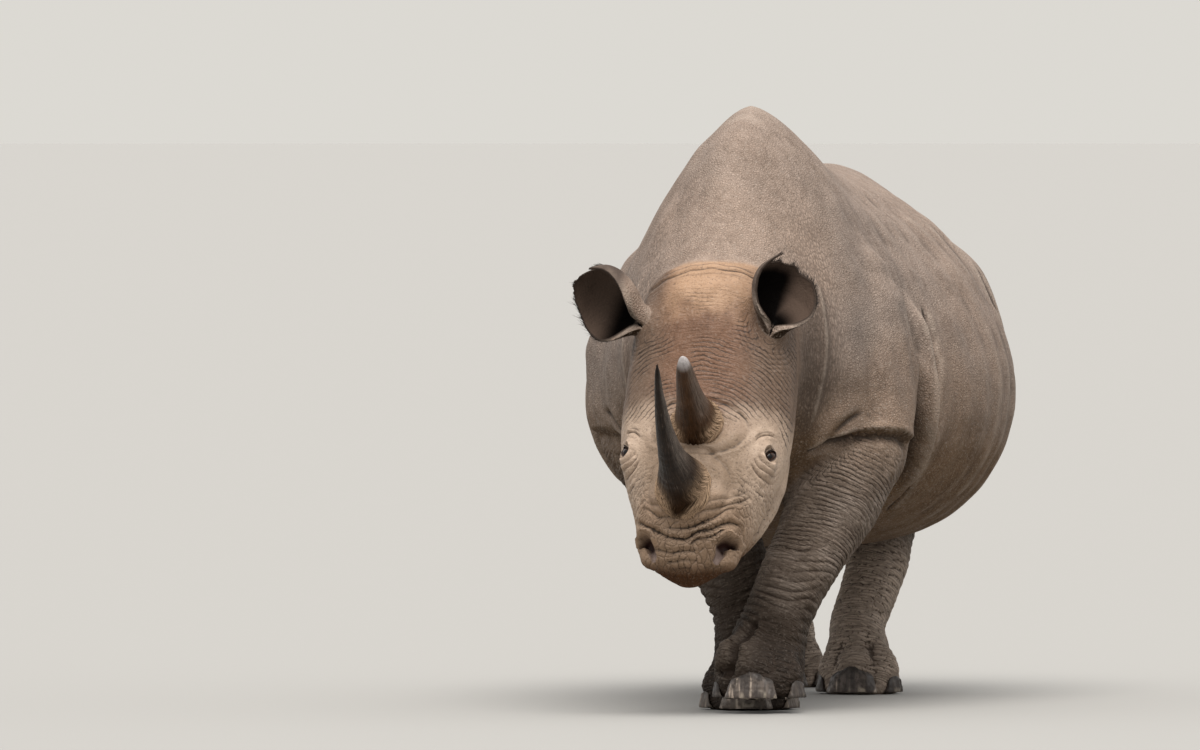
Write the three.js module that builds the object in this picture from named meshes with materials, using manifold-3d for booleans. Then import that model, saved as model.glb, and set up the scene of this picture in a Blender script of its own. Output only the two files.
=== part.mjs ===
// Black rhinoceros, walking with its head low, at life size.
// Millimetres. +Z is up, the animal faces -Y, and its own left side is +X.
import * as THREE from "three";
import { mergeVertices } from "three/addons/utils/BufferGeometryUtils.js";
import Module from "manifold-3d";

// ---------- driving dimensions ----------
const GAP = 0.3; // clearance between neighbouring pieces
const SHOULDER_HEIGHT = 1500; // floor to the top of the hump
const HEAD_PITCH = 63; // degrees the face points below level
const HEAD_YAW = -2.5; // degrees, towards its right
const HEAD_ROLL = 3; // degrees, its left side raised
const HEAD_AT = [2, -994, 981]; // middle of the back of the skull
const EYE_RADIUS = 21;
const EYE_SPAN = 170; // midline to eye centre
const EYE_ALONG = 424; // back of skull to eye, along the face
const EYE_HEIGHT = 68;
const EYE_TILT = 58; // degrees the eye looks up from straight sideways
const NOSTRIL_ALONG = 652;
const NOSTRIL_SPAN = 93;
const LIP_SWAY = -14; // the lip hangs this far off the middle, towards its right
const LIP_SWAY_FROM = 560; // back of skull to where the muzzle starts to bend
const LIP_SWAY_TO = 722;
const FRONT_HORN_LENGTH = 488;
const REAR_HORN_LENGTH = 285;
const HORN_BASE = 74; // half the width of either horn at its foot
const EAR_LENGTH = 212;
const EAR_WALL = 9;
const EAR_NOD = 20; // degrees the ears lean forward
const EAR_RISE = 104; // foot of the ear above the line of the face
const SPACE = 6000; // larger than the animal, for blocks that stand for all of one side
const LIFTED_FOOT = 34; // clearance under the foot in mid stride
// Corners round each kind of tube
const TRUNK_SIDES = 26;
const LEG_SIDES = 12;
const HEAD_SIDES = 18;
const JAW_SIDES = 12;
const HORN_SIDES = 12;
const TAIL_SIDES = 8;

// Trunk and neck, rear of skull to rump:
// y, top, bottom, half width, level of the widest point, upper power, lower power, sideways shift
const TRUNK = [
  [-1125, 1062, 850, 95, 950, 2.0, 2.0, 0],
  [-1075, 1108, 760, 150, 935, 1.9, 2.0, 0],
  [-990, 1180, 665, 200, 905, 1.7, 2.0, 0],
  [-880, 1288, 590, 270, 865, 1.5, 2.0, 0],
  [-770, 1400, 528, 332, 830, 1.43, 2.0, 0],
  [-660, 1472, 492, 366, 805, 1.44, 2.1, 0],
  [-550, SHOULDER_HEIGHT, 470, 380, 795, 1.44, 2.2, 0],
  [-420, 1482, 452, 402, 790, 1.43, 2.2, 0],
  [-260, 1425, 432, 448, 790, 1.46, 2.2, 0],
  [-80, 1372, 405, 500, 790, 1.56, 2.3, 0],
  [120, 1345, 380, 530, 790, 1.68, 2.3, 0],
  [320, 1340, 368, 532, 790, 1.7, 2.3, -3],
  [520, 1345, 392, 500, 800, 1.58, 2.3, -14],
  [700, 1350, 450, 440, 820, 1.5, 2.2, -24],
  [850, 1330, 540, 370, 850, 1.6, 2.1, -30],
  [980, 1275, 645, 300, 890, 1.8, 2.0, -30],
  [1075, 1195, 755, 215, 930, 2.0, 2.0, -30],
  [1130, 1105, 870, 105, 990, 2.0, 2.0, -30],
];
const NECK_CUT = [[0, -820, 950], [0, 0.97, -0.24]]; // point on the cut and its normal

// Legs, top to ankle: x, y, z, half width, front half depth, rear half depth
const FORELEG_LEFT = [
  [196, -480, 1150, 60, 85, 100],
  [236, -490, 1065, 102, 130, 150],
  [258, -510, 965, 126, 160, 178],
  [267, -548, 840, 145, 180, 198],
  [276, -602, 710, 142, 160, 178],
  [252, -680, 570, 131, 126, 140],
  [214, -744, 458, 106, 106, 112],
  [160, -806, 340, 92, 94, 97],
  [127, -850, 250, 84, 88, 90],
  [106, -885, 178, 94, 94, 90],
  [101, -914, 128, 102, 100, 92],
  [98, -932, 92, 92, 98, 86],
];
const FORELEG_RIGHT = [
  [-196, -480, 1150, 60, 85, 100],
  [-236, -490, 1065, 102, 130, 150],
  [-256, -505, 965, 126, 160, 178],
  [-276, -530, 840, 144, 178, 198],
  [-256, -556, 710, 140, 160, 178],
  [-168, -590, 570, 130, 128, 140],
  [-92, -622, 458, 112, 108, 114],
  [-26, -655, 340, 97, 96, 98],
  [10, -676, 250, 88, 90, 92],
  [26, -690, 172, 92, 95, 92],
  [30, -698, 105, 100, 103, 95],
  [30, -702, 60, 94, 102, 90],
];
const HINDLEG_LEFT = [
  [170, 830, 1130, 90, 150, 150],
  [236, 780, 1010, 150, 215, 225],
  [270, 735, 880, 168, 238, 240],
  [256, 700, 750, 158, 232, 225],
  [192, 702, 615, 124, 176, 160],
  [126, 742, 480, 90, 116, 110],
  [116, 712, 370, 82, 92, 96],
  [102, 640, 270, 76, 82, 84],
  [79, 570, 185, 69, 82, 82],
  [88, 525, 115, 80, 92, 86],
  [100, 500, 60, 84, 94, 84],
];
const HINDLEG_RIGHT = [
  [-220, 830, 1130, 90, 150, 150],
  [-288, 795, 1010, 150, 215, 225],
  [-318, 780, 880, 168, 238, 238],
  [-322, 788, 750, 158, 225, 215],
  [-296, 860, 615, 126, 170, 156],
  [-252, 968, 480, 96, 116, 110],
  [-224, 1010, 370, 81, 92, 96],
  [-198, 1012, 270, 72, 82, 85],
  [-184, 1003, 185, 70, 84, 84],
  [-180, 994, 112, 82, 94, 88],
  [-180, 986, 60, 84, 94, 84],
];
// Feet: centre x, y, lift, turn (degrees, toes outwards), half width, half length
const FOOT_FL = [98, -945, LIFTED_FOOT, 4, 104, 118];
const FOOT_FR = [28, -705, 0, -4, 112, 122];
const FOOT_HL = [103, 490, 0, 4, 98, 112];
const FOOT_HR = [-180, 980, 0, -6, 98, 112];

// Head, back of skull to lip: distance along, half width, top, bottom, upper power, lower power
const HEAD = [
  [-95, 120, 110, 130, 2.0, 2.0],
  [-50, 180, 158, 195, 2.0, 2.1],
  [40, 200, 172, 215, 2.1, 2.2],
  [160, 208, 158, 222, 2.3, 2.2],
  [270, 211, 145, 205, 2.4, 2.3],
  [350, 210, 138, 168, 2.4, 2.4],
  [430, 201, 146, 124, 2.3, 2.4],
  [515, 176, 156, 90, 2.1, 2.3],
  [585, 149, 138, 76, 2.2, 2.2],
  [645, 128, 100, 74, 2.2, 2.1],
  [690, 93, 62, 76, 2.1, 2.0],
  [713, 50, 25, 72, 2.0, 1.9],
  [722, 26, -10, 62, 2.0, 2.0],
];
// Lower jaw: distance along, half width, top, bottom (both measured down from the axis)
const JAW = [
  [170, 130, -60, 215],
  [260, 180, -60, 226],
  [350, 194, -50, 214],
  [440, 188, -40, 190],
  [520, 164, -40, 166],
  [590, 126, -45, 148],
  [640, 80, -50, 132],
  [672, 40, -60, 112],
];
// Tail: x, y, z, radius
const TAIL = [
  [-30, 1070, 1165, 62],
  [-30, 1135, 1125, 50],
  [-28, 1175, 1040, 38],
  [-22, 1188, 920, 31],
  [-14, 1186, 790, 26],
  [-8, 1180, 690, 22],
  [-6, 1178, 640, 16],
];
const TAIL_BRUSH = [
  [-6, 1178, 700, 26, 28],
  [-5, 1178, 650, 38, 34],
  [-3, 1176, 580, 44, 36],
  [0, 1174, 510, 34, 28],
  [2, 1172, 462, 12, 12],
];

// Ears: side, foot off the midline and down the face, width as a share of EAR_SHELL, outward lean
// and turn in degrees, and how far the rim reaches along the ear, from inner to outer edge
const EARS = [
  {
    name: "ear_left",
    side: 1,
    foot: [148, 102],
    spread: 0.86,
    lean: 25,
    turn: 4,
    reach: [0.3, 0.93, 0.84, 0.76, 0.73, 0.72, 0.72, 0.67, 0.62, 0.55, 0.43, 0.24, 0.05],
  },
  {
    name: "ear_right",
    side: -1,
    foot: [158, 84],
    spread: 0.92,
    lean: 66,
    turn: 2,
    reach: [0.36, 0.84, 0.8, 0.74, 0.9, 0.95, 0.97, 0.96, 0.93, 0.85, 0.68, 0.4, 0.06],
  },
];
// Ear shell along its length: radius, half opening of the arc (degrees)
const EAR_SHELL = [
  [36, 176],
  [51, 168],
  [78, 140],
  [96, 122],
  [105, 108],
  [101, 98],
  [80, 90],
  [53, 84],
];

const COLOURS = {
  hide: 0x8a7a70,
  face: 0x96816f,
  leg: 0x6b5f57,
  foot: 0x4d4540,
  nail: 0x5a5450,
  ear: 0x54483f,
  horn: 0x4a4340,
  hornRear: 0x5e5145,
  eye: 0x1d1512,
  brush: 0x2a2421,
};

const wasm = await Module();
wasm.setup();

// ---------- small tools ----------
const rad = THREE.MathUtils.degToRad;

function solid(geometry) {
  const g = geometry.clone();
  g.deleteAttribute("normal");
  g.deleteAttribute("uv");
  const merged = mergeVertices(g, 1e-3);
  const mesh = new wasm.Mesh({
    numProp: 3,
    vertProperties: new Float32Array(merged.attributes.position.array),
    triVerts: new Uint32Array(merged.index.array),
  });
  return new wasm.Manifold(mesh);
}

function geometryOf(body) {
  const m = body.getMesh();
  const n = m.numProp;
  const v = new Float32Array(m.numVert * 3);
  for (let i = 0; i < m.numVert; i++) {
    v.set(m.vertProperties.subarray(i * n, i * n + 3), i * 3);
  }
  const g = new THREE.BufferGeometry();
  g.setAttribute("position", new THREE.BufferAttribute(v, 3));
  g.setIndex(new THREE.BufferAttribute(m.triVerts, 1));
  return g;
}

// The same solid with every corner moved out by a distance.
function grown(body, distance) {
  const g = mergeVertices(geometryOf(body), 1e-3);
  g.computeVertexNormals();
  const p = g.attributes.position;
  const n = g.attributes.normal;
  for (let i = 0; i < p.count; i++) {
    p.setXYZ(
      i,
      p.getX(i) + n.getX(i) * distance,
      p.getY(i) + n.getY(i) * distance,
      p.getZ(i) + n.getZ(i) * distance,
    );
  }
  return solid(g);
}

// Everything on the side of a plane that its normal points to, moved along it by an offset.
function beyond(point, normal, offset = 0) {
  const g = new THREE.BoxGeometry(SPACE, SPACE, SPACE);
  g.translate(0, 0, SPACE / 2);
  const n = new THREE.Vector3(...normal).normalize();
  const q = new THREE.Quaternion().setFromUnitVectors(new THREE.Vector3(0, 0, 1), n);
  g.applyQuaternion(q);
  g.translate(...new THREE.Vector3(...point).addScaledVector(n, offset).toArray());
  return solid(g);
}

// A closed tube through loops of points, its ends closed by fans.
function skinOver(loops) {
  const n = loops[0].length;
  const positions = [];
  const index = [];
  loops.forEach((loop) => loop.forEach((p) => positions.push(...p.toArray())));
  for (let k = 0; k + 1 < loops.length; k++) {
    for (let i = 0; i < n; i++) {
      const a = k * n + i;
      const b = k * n + ((i + 1) % n);
      index.push(a, b, b + n, a, b + n, a + n);
    }
  }
  const close = (loop, base, flip) => {
    const mid = new THREE.Vector3();
    loop.forEach((p) => mid.addScaledVector(p, 1 / n));
    const m = positions.length / 3;
    positions.push(...mid.toArray());
    for (let i = 0; i < n; i++) {
      const a = base + i;
      const b = base + ((i + 1) % n);
      index.push(...(flip ? [m, a, b] : [m, b, a]));
    }
  };
  close(loops[0], 0, false);
  close(loops[loops.length - 1], (loops.length - 1) * n, true);
  return orient(positions, index);
}

// A closed sheet of two faces, each a grid of points, joined along all four edges.
function sheetOver(outer, inner) {
  const rows = outer.length;
  const n = outer[0].length;
  const positions = [];
  const index = [];
  [outer, inner].forEach((face) =>
    face.forEach((row) => row.forEach((p) => positions.push(...p.toArray()))),
  );
  const at = (face, i, j) => (face * rows + i) * n + j;
  const quad = (a, b, c, d) => index.push(a, b, c, a, c, d);
  const end = rows - 1;
  const last = n - 1;
  for (let i = 0; i < end; i++) {
    for (let j = 0; j < last; j++) {
      quad(at(0, i, j), at(0, i, j + 1), at(0, i + 1, j + 1), at(0, i + 1, j));
      quad(at(1, i, j), at(1, i + 1, j), at(1, i + 1, j + 1), at(1, i, j + 1));
    }
    quad(at(0, i, 0), at(0, i + 1, 0), at(1, i + 1, 0), at(1, i, 0));
    quad(at(0, i, last), at(1, i, last), at(1, i + 1, last), at(0, i + 1, last));
  }
  for (let j = 0; j < last; j++) {
    quad(at(0, 0, j), at(1, 0, j), at(1, 0, j + 1), at(0, 0, j + 1));
    quad(at(0, end, j), at(0, end, j + 1), at(1, end, j + 1), at(1, end, j));
  }
  return orient(positions, index);
}

// Turn every triangle over.
function flip(index) {
  for (let i = 0; i < index.length; i += 3) {
    const first = index[i];
    index[i] = index[i + 1];
    index[i + 1] = first;
  }
}

function mirror(g) {
  g.scale(-1, 1, 1);
  flip(g.index.array);
}

function orient(positions, index) {
  let volume = 0;
  const a = new THREE.Vector3();
  const b = new THREE.Vector3();
  const c = new THREE.Vector3();
  for (let i = 0; i < index.length; i += 3) {
    a.fromArray(positions, index[i] * 3);
    b.fromArray(positions, index[i + 1] * 3);
    c.fromArray(positions, index[i + 2] * 3);
    volume += a.dot(b.cross(c));
  }
  if (volume < 0) {
    flip(index);
  }
  const g = new THREE.BufferGeometry();
  g.setAttribute("position", new THREE.Float32BufferAttribute(positions, 3));
  g.setIndex(index);
  return g;
}

// Smooth values between the rows of a table of numbers, at steps per row.
function smoothRows(rows, steps) {
  const width = rows[0].length;
  const curves = [];
  for (let c = 0; c < width; c += 3) {
    const points = rows.map((r) => new THREE.Vector3(r[c], r[c + 1] ?? 0, r[c + 2] ?? 0));
    curves.push(new THREE.CatmullRomCurve3(points, false, "catmullrom", 0.5));
  }
  const count = Math.round((rows.length - 1) * steps);
  const out = [];
  for (let i = 0; i <= count; i++) {
    const row = curves.flatMap((curve) => curve.getPoint(i / count).toArray());
    out.push(row.slice(0, width));
  }
  return out;
}

// A rounded outline: powers of 2 make an ellipse, lower ones a wedge, higher ones a box.
function outline(count, w, up, down, upperPower, lowerPower) {
  const points = [];
  for (let i = 0; i < count; i++) {
    const t = ((i + 0.5) / count) * 2 * Math.PI;
    const c = Math.cos(t);
    const s = Math.sin(t);
    const p = s >= 0 ? upperPower : lowerPower;
    const x = w * Math.sign(c) * Math.abs(c) ** (2 / p);
    const z = (s >= 0 ? up : down) * Math.sign(s) * Math.abs(s) ** (2 / p);
    points.push([x, z]);
  }
  return points;
}

// ---------- trunk and neck ----------
function trunkTube() {
  const loops = smoothRows(TRUNK, 1).map(([y, top, bottom, w, mid, pu, pl, shift]) =>
    outline(TRUNK_SIDES, w, top - mid, mid - bottom, pu, pl).map(
      ([x, z]) => new THREE.Vector3(x + shift, y, mid + z),
    ),
  );
  return solid(skinOver(loops));
}

// ---------- legs ----------
// Loops square to the leg's own line, so that a bent leg keeps its thickness.
function legTube(rows, count, steps) {
  const smooth = smoothRows(rows, steps);
  const line = smooth.map((r) => new THREE.Vector3(r[0], r[1], r[2]));
  const loops = smooth.map((r, i) => {
    const before = line[Math.max(0, i - 1)];
    const after = line[Math.min(line.length - 1, i + 1)];
    const down = after.clone().sub(before).normalize();
    const fore = new THREE.Vector3(0, -1, 0).addScaledVector(down, down.y).normalize();
    const side = new THREE.Vector3().crossVectors(down, fore).normalize();
    return outline(count, r[3], r[4], r[5], 2.15, 2.15).map(([x, z]) =>
      line[i].clone().addScaledVector(side, x).addScaledVector(fore, z),
    );
  });
  return solid(skinOver(loops));
}

// A foot: ankle, spread toes and a flat sole, standing at its own origin, toes towards -Y.
const FOOT_PROFILE = [
  [122, 0.5, 0.45],
  [108, 0.78, 0.74],
  [84, 0.93, 0.92],
  [52, 1.02, 1.03],
  [26, 1.03, 1.05],
  [8, 0.99, 1.01],
  [0, 0.9, 0.92],
];
function footBody(w, l) {
  const loops = FOOT_PROFILE.map(([z, kw, kl]) =>
    outline(LEG_SIDES, w * kw, l * kl, l * kl * 0.92, 2.3, 2.3).map(
      ([x, y]) => new THREE.Vector3(x, -y, z),
    ),
  );
  return solid(skinOver(loops));
}

// Three nails round the toes, each a rounded block: turn about the foot, half width, height.
const NAILS = [
  ["inner", -64, 36, 54],
  ["middle", 0, 70, 76],
  ["outer", 64, 36, 54],
];
function nailBody(w, l, turn, half, height) {
  const g = new THREE.SphereGeometry(1, 8, 4);
  const p = g.attributes.position;
  const corner = new THREE.Vector3();
  for (let i = 0; i < p.count; i++) {
    corner.fromBufferAttribute(p, i);
    const size = ["x", "y", "z"].reduce((sum, axis) => sum + Math.abs(corner[axis]) ** 3, 0);
    corner.multiplyScalar(size ** (-1 / 3));
    p.setXYZ(i, corner.x, corner.y, corner.z);
  }
  g.scale(half, 22, height);
  const a = rad(turn);
  const reach = 1 / Math.hypot(Math.sin(a) / (w * 0.97), Math.cos(a) / (l * 0.98));
  g.rotateX(rad(-8));
  g.translate(0, -reach, 4);
  g.rotateZ(-a);
  return solid(g).intersect(beyond([0, 0, 2], [0, 0, 1]));
}

function placeFoot(body, [x, y, lift, turn], mirrored) {
  const m = new THREE.Matrix4().makeRotationZ(rad(-turn));
  m.setPosition(x, y, lift);
  const g = geometryOf(body);
  if (mirrored) {
    mirror(g);
  }
  g.applyMatrix4(m);
  return solid(g);
}

// Pieces of one leg. The cuts are planes: point and downward normal. The upper piece
// takes in the shoulder or thigh, less the trunk it lies on.
function legPieces(rows, foot, rightSide, middleCut, ankleCut, trunkRoom) {
  const tube = legTube(rows, LEG_SIDES, 1.1);
  const [, , , , w, l] = foot;
  const plain = placeFoot(footBody(w, l), foot, rightSide);
  const whole = plain.add(tube);
  const footRoom = grown(plain, GAP).add(grown(tube, GAP));
  const above = (cut) => beyond(cut[0], cut[1].map((v) => -v), GAP / 2);
  const below = (cut) => beyond(cut[0], cut[1], GAP / 2);
  const nails = NAILS.map(([, turn, half, height]) =>
    placeFoot(nailBody(w, l, turn, half, height), foot, rightSide).subtract(footRoom),
  );
  return {
    upper: tube.intersect(above(middleCut)).subtract(trunkRoom),
    lower: tube.intersect(below(middleCut)).intersect(above(ankleCut)).subtract(trunkRoom),
    foot: whole.intersect(below(ankleCut)),
    nails,
  };
}

// ---------- head ----------
function headMatrix() {
  const e = new THREE.Euler(rad(HEAD_PITCH), rad(HEAD_ROLL), rad(HEAD_YAW), "ZXY");
  return new THREE.Matrix4().makeRotationFromEuler(e).setPosition(...HEAD_AT);
}

function lipSway(along) {
  return LIP_SWAY * THREE.MathUtils.smoothstep(along, LIP_SWAY_FROM, LIP_SWAY_TO);
}

function alongHead(rows, steps, count, ring) {
  return solid(
    skinOver(
      smoothRows(rows, steps).map((row) =>
        ring(row, count).map(([x, z]) => new THREE.Vector3(x + lipSway(row[0]), -row[0], z)),
      ),
    ),
  );
}

function blob(x, along, z, rx, ry, rz, turnZ = 0, turnX = 0) {
  const g = new THREE.SphereGeometry(1, 8, 5);
  g.scale(rx, ry, rz);
  g.rotateX(rad(turnX));
  g.rotateZ(rad(turnZ));
  g.translate(x + lipSway(along), -along, z);
  return solid(g);
}

function skull() {
  let body = alongHead(HEAD, 1.2, HEAD_SIDES, ([, w, up, down, pu, pl], n) =>
    outline(n, w, up, down, pu, pl),
  );
  [1, -1].forEach((side) => {
    // brow and lids round the eye, nostril wing, rise of the jaw muscle
    body = body.add(blob(side * (EYE_SPAN - 6), EYE_ALONG + 2, EYE_HEIGHT + 4, 30, 52, 42, side * 14));
    body = body.add(blob(side * 84, NOSTRIL_ALONG - 4, 8, 43, 58, 50, side * 14));
    body = body.add(blob(side * 146, 84, 84, 52, 60, 56));
  });
  body = body.add(blob(0, 525, 95, 92, 100, 78)); // boss under the front horn
  return body;
}

function jawBody() {
  return alongHead(JAW, 1.2, JAW_SIDES, ([, w, top, bottom], n) => {
    const mid = (top - bottom) / 2;
    const half = (top + bottom) / 2;
    return outline(n, w, half, half, 2.2, 2.1).map(([x, z]) => [x, z + mid]);
  });
}

// The opening between the lids, running from the ball to the outside.
function lidOpening(side) {
  const g = new THREE.SphereGeometry(1, 8, 4);
  g.scale(24, 20, 12);
  g.translate(side * 24, 0, 0);
  g.rotateY(rad(-side * EYE_TILT));
  g.translate(side * EYE_SPAN, -EYE_ALONG, EYE_HEIGHT);
  return solid(g);
}

function nostrilPit(side) {
  return blob(side * NOSTRIL_SPAN, NOSTRIL_ALONG + 24, 44, 17, 27, 17, side * 30, 20);
}

// A horn: round loops up a curve that leans back, ending in a blunt tip. The sway is how far
// off the middle its foot, its bend and its tip are.
function hornBody(along, foot, length, lean, sway, widths) {
  const curve = new THREE.QuadraticBezierCurve3(
    new THREE.Vector3(sway[0], -along, foot),
    new THREE.Vector3(sway[1], -along - length * 0.04, foot + length * 0.5),
    new THREE.Vector3(sway[2], -along + lean, foot + length),
  );
  const loops = widths.map(([t, w, d]) => {
    const p = curve.getPoint(t);
    const dir = curve.getTangent(t);
    const back = new THREE.Vector3(0, dir.z, -dir.y);
    return outline(HORN_SIDES, w, d, d, 2, 2).map(([x, z]) =>
      p.clone().add(new THREE.Vector3(x, 0, 0)).addScaledVector(back, z),
    );
  });
  return solid(skinOver(loops));
}
// Share of the length, then half the width across and fore-and-aft, as shares of HORN_BASE
const FRONT_HORN = [
  [0, 1.0, 1.12],
  [0.08, 0.95, 1.04],
  [0.17, 0.76, 0.88],
  [0.28, 0.54, 0.68],
  [0.42, 0.39, 0.5],
  [0.56, 0.3, 0.38],
  [0.7, 0.23, 0.29],
  [0.84, 0.16, 0.2],
  [0.95, 0.09, 0.11],
  [1.0, 0.03, 0.03],
];
const REAR_HORN = [
  [0, 1.05, 1.1],
  [0.1, 0.92, 0.98],
  [0.25, 0.68, 0.78],
  [0.42, 0.52, 0.6],
  [0.6, 0.42, 0.47],
  [0.78, 0.33, 0.36],
  [0.9, 0.25, 0.27],
  [0.97, 0.15, 0.16],
  [1.0, 0.05, 0.05],
];

// ---------- ears ----------
// A shell rolled round its own length (+Z), open towards -Y, thickening to a stem at its foot.
function earBody(reach, spread) {
  const across = 9;
  const along = 5;
  const shell = EAR_SHELL.map(([r, a]) => new THREE.Vector3(r, a, 0));
  const shape = new THREE.CatmullRomCurve3(shell, false, "catmullrom", 0.5);
  const rim = new THREE.CatmullRomCurve3(
    reach.map((r) => new THREE.Vector3(r, 0, 0)), false, "catmullrom", 0.3,
  );
  const sheet = (inside) => {
    const rows = [];
    for (let i = 0; i <= along; i++) {
      const row = [];
      for (let j = 0; j <= across; j++) {
        const v = j / across;
        const u = (i / along) * rim.getPoint(v).x;
        const s = shape.getPoint(u);
        const wall = EAR_WALL + 30 * Math.max(0, 1 - u / 0.3);
        const full = s.x * spread;
        const r = full - (inside ? Math.min(wall, full - 5) : 0);
        const a = rad(s.y) * (2 * v - 1);
        const deep = Math.cos(a) * (Math.cos(a) > 0 ? 1.1 : 0.85);
        row.push(new THREE.Vector3(r * Math.sin(a), r * deep, u * EAR_LENGTH));
      }
      rows.push(row);
    }
    return rows;
  };
  return sheetOver(sheet(false), sheet(true));
}

function earPlaced({ side, foot, spread, lean, turn, reach }) {
  const g = earBody(reach, spread);
  if (side < 0) {
    mirror(g);
  }
  g.rotateZ(rad(side * turn));
  g.rotateY(rad(side * lean));
  g.rotateX(rad(EAR_NOD));
  const base = new THREE.Vector3(side * foot[0], -foot[1], EAR_RISE).applyMatrix4(toWorld);
  g.translate(...base.toArray());
  return solid(g);
}

// ---------- tail ----------
function tailBody() {
  const rows = TAIL.map(([x, y, z, r]) => [x, y, z, r, r * 1.1, r * 1.1]);
  return legTube(rows, TAIL_SIDES, 1.3);
}

function brushBody() {
  const rows = TAIL_BRUSH.map(([x, y, z, w, d]) => [x, y, z, w, d, d]);
  return legTube(rows, TAIL_SIDES, 1.5);
}

// ---------- the whole animal ----------
const model = new THREE.Group();
model.name = "black_rhinoceros";

function piece(name, geometry, colour, roughness) {
  const g = geometry.index ? geometry.toNonIndexed() : geometry;
  g.computeVertexNormals();
  const material = new THREE.MeshStandardMaterial({
    color: colour,
    roughness: roughness,
    metalness: 0,
  });
  const mesh = new THREE.Mesh(g, material);
  mesh.name = name;
  model.add(mesh);
}

// The largest of the separate bodies a cut has left.
function main(body) {
  return body.decompose().sort((a, b) => b.volume() - a.volume())[0];
}

const toWorld = headMatrix();
const inHead = (body) => solid(geometryOf(body).applyMatrix4(toWorld));

const tube = trunkTube();
const tubeRoom = grown(tube, GAP);
const legs = {
  foreleg_left: legPieces(
    FORELEG_LEFT, FOOT_FL, false,
    [[160, -790, 385], [-0.3, -0.45, -0.84]],
    [[104, -905, 140], [-0.1, -0.4, -0.9]],
    tubeRoom,
  ),
  foreleg_right: legPieces(
    FORELEG_RIGHT, FOOT_FR, true,
    [[-55, -640, 385], [0.5, -0.2, -0.84]],
    [[28, -695, 132], [0.1, -0.1, -0.98]],
    tubeRoom,
  ),
  hindleg_left: legPieces(
    HINDLEG_LEFT, FOOT_HL, false,
    [[132, 735, 425], [-0.2, -0.35, -0.9]],
    [[90, 540, 140], [0, -0.4, -0.9]],
    tubeRoom,
  ),
  hindleg_right: legPieces(
    HINDLEG_RIGHT, FOOT_HR, true,
    [[-238, 1005, 425], [0.2, 0.1, -0.97]],
    [[-181, 996, 140], [0, -0.1, -0.99]],
    tubeRoom,
  ),
};

// Head and what stands on it
const eyes = [1, -1].map((side) => {
  const g = new THREE.SphereGeometry(EYE_RADIUS, 8, 6);
  g.rotateZ(rad(90));
  g.translate(side * EYE_SPAN, -EYE_ALONG, EYE_HEIGHT);
  return inHead(solid(g));
});
const horns = [
  hornBody(540, 105, FRONT_HORN_LENGTH + 50, 85, [-8, -36, -16], FRONT_HORN.map(
    ([t, w, d]) => [t, w * HORN_BASE, d * HORN_BASE],
  )),
  hornBody(366, 100, REAR_HORN_LENGTH + 32, 43, [0, 0, 0], REAR_HORN.map(
    ([t, w, d]) => [t, w * HORN_BASE, d * HORN_BASE],
  )),
].map(inHead);

const fullHead = inHead(skull());
const fullJaw = inHead(jawBody());
const headRoom = grown(fullHead, GAP);
const jawRoom = grown(fullJaw, GAP);
const jaw = fullJaw.subtract(headRoom);
let head = fullHead;
[1, -1].forEach((side, i) => {
  head = head.subtract(grown(eyes[i], GAP));
  head = head.subtract(inHead(lidOpening(side))).subtract(inHead(nostrilPit(side)));
});

// Neck and trunk, one tube cut in two
const before = beyond(NECK_CUT[0], NECK_CUT[1].map((v) => -v), GAP / 2);
const behind = beyond(NECK_CUT[0], NECK_CUT[1], GAP / 2);
const neck = tube.intersect(before).subtract(headRoom).subtract(jawRoom);
const trunk = tube.intersect(behind).subtract(headRoom).subtract(jawRoom);
const brush = brushBody();
const tail = tailBody().subtract(tubeRoom).subtract(grown(brush, GAP));

piece("trunk", geometryOf(main(trunk)), COLOURS.hide, 0.9);
piece("neck", geometryOf(main(neck)), COLOURS.hide, 0.9);
piece("head", geometryOf(main(head)), COLOURS.face, 0.85);
piece("lower_jaw", geometryOf(main(jaw)), COLOURS.face, 0.85);
EARS.forEach((ear) => {
  const rest = earPlaced(ear).subtract(headRoom).subtract(tubeRoom);
  piece(ear.name, geometryOf(main(rest)), COLOURS.ear, 0.9);
});
piece("eye_left", geometryOf(eyes[0]), COLOURS.eye, 0.15);
piece("eye_right", geometryOf(eyes[1]), COLOURS.eye, 0.15);
piece("horn_front", geometryOf(main(horns[0].subtract(headRoom))), COLOURS.horn, 0.6);
piece("horn_rear", geometryOf(main(horns[1].subtract(headRoom))), COLOURS.hornRear, 0.6);
Object.entries(legs).forEach(([name, leg]) => {
  piece(name + "_upper", geometryOf(main(leg.upper)), COLOURS.leg, 0.9);
  piece(name + "_lower", geometryOf(main(leg.lower)), COLOURS.leg, 0.9);
  piece(name + "_foot", geometryOf(main(leg.foot)), COLOURS.foot, 0.9);
  leg.nails.forEach((nail, i) => {
    piece(name + "_nail_" + NAILS[i][0], geometryOf(main(nail)), COLOURS.nail, 0.6);
  });
});
piece("tail", geometryOf(main(tail)), COLOURS.hide, 0.9);
piece("tail_brush", geometryOf(brush), COLOURS.brush, 0.8);

// Stand the animal on z = 0 with its middle over the origin.
const box = new THREE.Box3().setFromObject(model);
const middle = box.getCenter(new THREE.Vector3());
model.position.set(-middle.x, -middle.y, -box.min.z);
export default model;
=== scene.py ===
import math
import time

import bmesh
import bpy
import numpy as np
from mathutils import Matrix, Vector
from mathutils.bvhtree import BVHTree


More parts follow.
